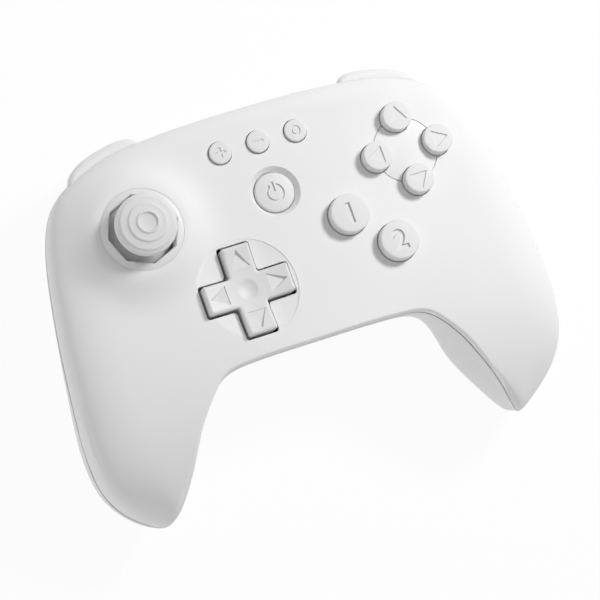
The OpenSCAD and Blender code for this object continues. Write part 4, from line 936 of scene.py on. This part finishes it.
def triggerPiece(side, name):
    clearSelection()
    bpy.ops.mesh.primitive_grid_add(x_subdivisions=40, y_subdivisions=30, size=2)
    obj = active("trigger" + name.title())
    for vertex in obj.data.vertices:
        u, t = vertex.co.x, (1 - vertex.co.y) / 2
        y, z = curvePoint(t)
        x = trigger["x"] + trigger["width"] / 2 * u
        turnIn = trigger["sideIn"] * abs(u) ** 8 + trigger["tipIn"] * t ** 8
        vertex.co = (x * mm, (y + triggerBack(x) - turnIn) * mm, z * mm)
    outwardFacing(obj)
    addModifier(obj, "SOLIDIFY", thickness=trigger["wall"] * mm, offset=-1)
    addModifier(obj, "BEVEL", width=trigger["edge"] * mm, segments=3, limit_method="ANGLE",
                angle_limit=math.radians(50))
    x0, x1 = trigger["x"] - trigger["width"] / 2, trigger["x"] + trigger["width"] / 2
    for x in (x0 + trigger["cheekIn"], x1 - trigger["cheekIn"] - trigger["cheek"]):
        combine(obj, cheekPlate(x), "UNION")
    boss = rod("triggerBoss", 0, 0, x0 + trigger["bossIn"], x1 - trigger["bossIn"], trigger["boss"],
               segments=48)
    bore = rod("triggerBore", 0, 0, x0 - 1, x1 + 1, trigger["bore"], segments=32)
    hinge = Matrix.Translation((0, trigger["hinge"][0] * mm, trigger["hinge"][1] * mm))
    for tube in (boss, bore):
        tube.data.transform(hinge @ Matrix.Rotation(math.radians(90), 4, "Y"))
    combine(obj, boss, "UNION")
    combine(obj, bore)
    if side < 0:
        obj.data.transform(Matrix.Scale(-1, 4, (1, 0, 0)))
        obj.data.flip_normals()
    return keep(obj, "trigger_" + name, ["trigger_" + name], keyAbs, 40)


for side, name in ((-1, "left"), (1, "right")):
    bumperPiece(side, name)
    triggerPiece(side, name)
print("shoulders ready")

# finishes of the pieces that stay as they are
nodeFinish = {
    "stick_shaft": drawnSteel, "stick_yoke": darkNylon, "stick_housing": darkNylon, "dpad_ball": drawnSteel,
    "dpad_post": gateAbs, "main_board": boardMask, "usb_socket": platedSteel, "pair_button": keyAbs,
    "pair_switch": darkNylon, "light_pipe": lightGuide, "battery_foam": closedFoam, "battery_cell": pouchFoil,
    "case_screws": drawnSteel, "dpad_pad": silicone, "action_pad": silicone, "arrow_pad": silicone,
    "menu_pad": silicone}
for name in ("left", "right"):
    nodeFinish.update({"bumper_pin_" + name: drawnSteel, "trigger_pin_" + name: drawnSteel,
                       "trigger_spring_" + name: drawnSteel, "shoulder_bracket_" + name: darkNylon,
                       "motor_" + name: drawnSteel, "motor_weight_" + name: drawnSteel})
for name, material in nodeFinish.items():
    node = frame["nodes"][name]
    node.data.materials.clear()
    node.data.materials.append(material)
print("inner pieces finished")

# camera: turns in degrees, picture places in pixels, the rest in millimetres
view = {"scale": 3.39, "distance": 1045.5, "focal": 3544, "pixels": 600, "sensor": 36, "roll": 19.89,
        "pitch": -8.09, "yaw": 16.87, "centre": (276.1, 190.45), "height": 0.97, "clip": (0.05, 20)}


def viewCamera():
    clearSelection()
    roll, pitch, yaw = (Matrix.Rotation(math.radians(view[turn]), 3, axis)
                        for turn, axis in (("roll", "Z"), ("pitch", "X"), ("yaw", "Y")))
    spin = roll @ pitch @ yaw
    half = view["pixels"] / 2
    shift = Vector(((view["centre"][0] - half) / view["scale"], (half - view["centre"][1]) / view["scale"],
                    -view["distance"]))
    place = Vector((0, 0, view["height"])) - spin.transposed() @ shift
    camera = bpy.data.cameras.new("viewCamera")
    camera.sensor_width = view["sensor"]
    camera.lens = view["focal"] / view["pixels"] * view["sensor"]
    camera.clip_start, camera.clip_end = view["clip"]
    obj = bpy.data.objects.new("viewCamera", camera)
    bpy.context.scene.collection.objects.link(obj)
    obj.matrix_world = faceToRow @ Matrix.Translation(place * mm) @ spin.transposed().to_4x4()
    bpy.context.scene.camera = obj
    return obj


camera = viewCamera()
toRow = camera.matrix_world.to_3x3()

# one soft lamp from the upper right, placed in the camera's axes; metres and watts
keyLamp = {"way": (0.62, 0.59, 0.52), "far": 0.75, "size": 0.2, "power": 3.8, "aim": (0, 0, 0.03)}
light = bpy.data.lights.new("key", "AREA")
light.shape = "DISK"
light.size, light.energy = keyLamp["size"], keyLamp["power"]
lampObject = bpy.data.objects.new("key", light)
bpy.context.scene.collection.objects.link(lampObject)
lampWay = (toRow @ Vector(keyLamp["way"])).normalized()
lampObject.location = Vector(keyLamp["aim"]) + lampWay * keyLamp["far"]
lampObject.rotation_euler = lampWay.to_track_quat("Z", "Y").to_euler()


def seenRays(tree):  # 1 for rays that show the background itself
    path = addNode(tree, "ShaderNodeLightPath").outputs
    first = addNode(tree, "ShaderNodeMath", {"operation": "MAXIMUM"},
                    {0: path["Is Camera Ray"], 1: path["Is Glossy Ray"]})
    both = addNode(tree, "ShaderNodeMath", {"operation": "MAXIMUM"},
                   {0: first.outputs[0], 1: path["Is Transmission Ray"]})
    return both.outputs[0]


# room light: a ceiling that is brightest overhead and a pale wall low on the left; the camera sees white
room = {"dim": 0.08, "bright": 0.52, "dimBelow": -0.3, "wall": 2.1, "wallTop": 0.3,
        "wallWay": (-0.8, -0.6, 0), "wallFrom": -0.2, "wallFull": 0.7}
world = bpy.data.worlds.new("softRoom")
bpy.context.scene.world = world
world.use_nodes = True
tree = world.node_tree
ray = addNode(tree, "ShaderNodeTexCoord").outputs["Generated"]
upward = addNode(tree, "ShaderNodeSeparateXYZ", None, {0: ray}).outputs["Z"]
low = addNode(tree, "ShaderNodeMapRange", {"interpolation_type": "SMOOTHSTEP"}, {"Value": upward},
              From_Min=0.0, From_Max=room["wallTop"], To_Min=1.0, To_Max=0.0)
toward = addNode(tree, "ShaderNodeVectorMath", {"operation": "DOT_PRODUCT"}, {0: ray})
toward.inputs[1].default_value = (toRow @ Vector(room["wallWay"])).normalized()
beside = addNode(tree, "ShaderNodeMapRange", {"interpolation_type": "SMOOTHSTEP"},
                 {"Value": toward.outputs["Value"]}, From_Min=room["wallFrom"], From_Max=room["wallFull"])
paperWall = addNode(tree, "ShaderNodeMath", {"operation": "MULTIPLY"},
                    {0: low.outputs["Result"], 1: beside.outputs["Result"]})
ceiling = addNode(tree, "ShaderNodeMapRange", None, {"Value": upward}, From_Min=room["dimBelow"],
                  To_Min=room["dim"], To_Max=room["bright"])
around = addNode(tree, "ShaderNodeMath", {"operation": "MULTIPLY_ADD"},
                 {0: paperWall.outputs[0], 2: ceiling.outputs["Result"]})
around.inputs[1].default_value = room["wall"]
strength = addNode(tree, "ShaderNodeMapRange", None, {"Value": seenRays(tree), "To Min": around.outputs[0]},
                   To_Max=1.0)
tree.nodes["Background"].inputs["Color"].default_value = (1, 1, 1, 1)
tree.links.new(strength.outputs["Result"], tree.nodes["Background"].inputs["Strength"])

# matt paper, lit from within so far that it meets the white background and still takes a faint shadow
stage = {"colour": "#f4f4f4", "roughness": 0.9, "size": 6, "below": 0.0002, "glow": 0.93, "bounce": 0.52}
clearSelection()
bpy.ops.mesh.primitive_plane_add(size=stage["size"], location=(0, 0, -stage["below"]))
floor = settle(active("floor"))
paper = bpy.data.materials.new("pale paper floor")
paper.use_nodes = True
tree = paper.node_tree
matt = tree.nodes["Principled BSDF"]
matt.inputs["Base Color"].default_value = linearColour(stage["colour"])
matt.inputs["Roughness"].default_value = stage["roughness"]
glow = addNode(tree, "ShaderNodeEmission", Color=(1, 1, 1, 1), Strength=1.0)
share = addNode(tree, "ShaderNodeMapRange", None, {"Value": seenRays(tree)}, To_Min=stage["bounce"],
                To_Max=stage["glow"])
blend = addNode(tree, "ShaderNodeMixShader", None,
                {0: share.outputs["Result"], 1: matt.outputs[0], 2: glow.outputs[0]})
tree.links.new(blend.outputs[0], tree.nodes["Material Output"].inputs["Surface"])
floor.data.materials.append(paper)
bpy.context.scene.view_settings.view_transform = "Standard"
print("stage ready")
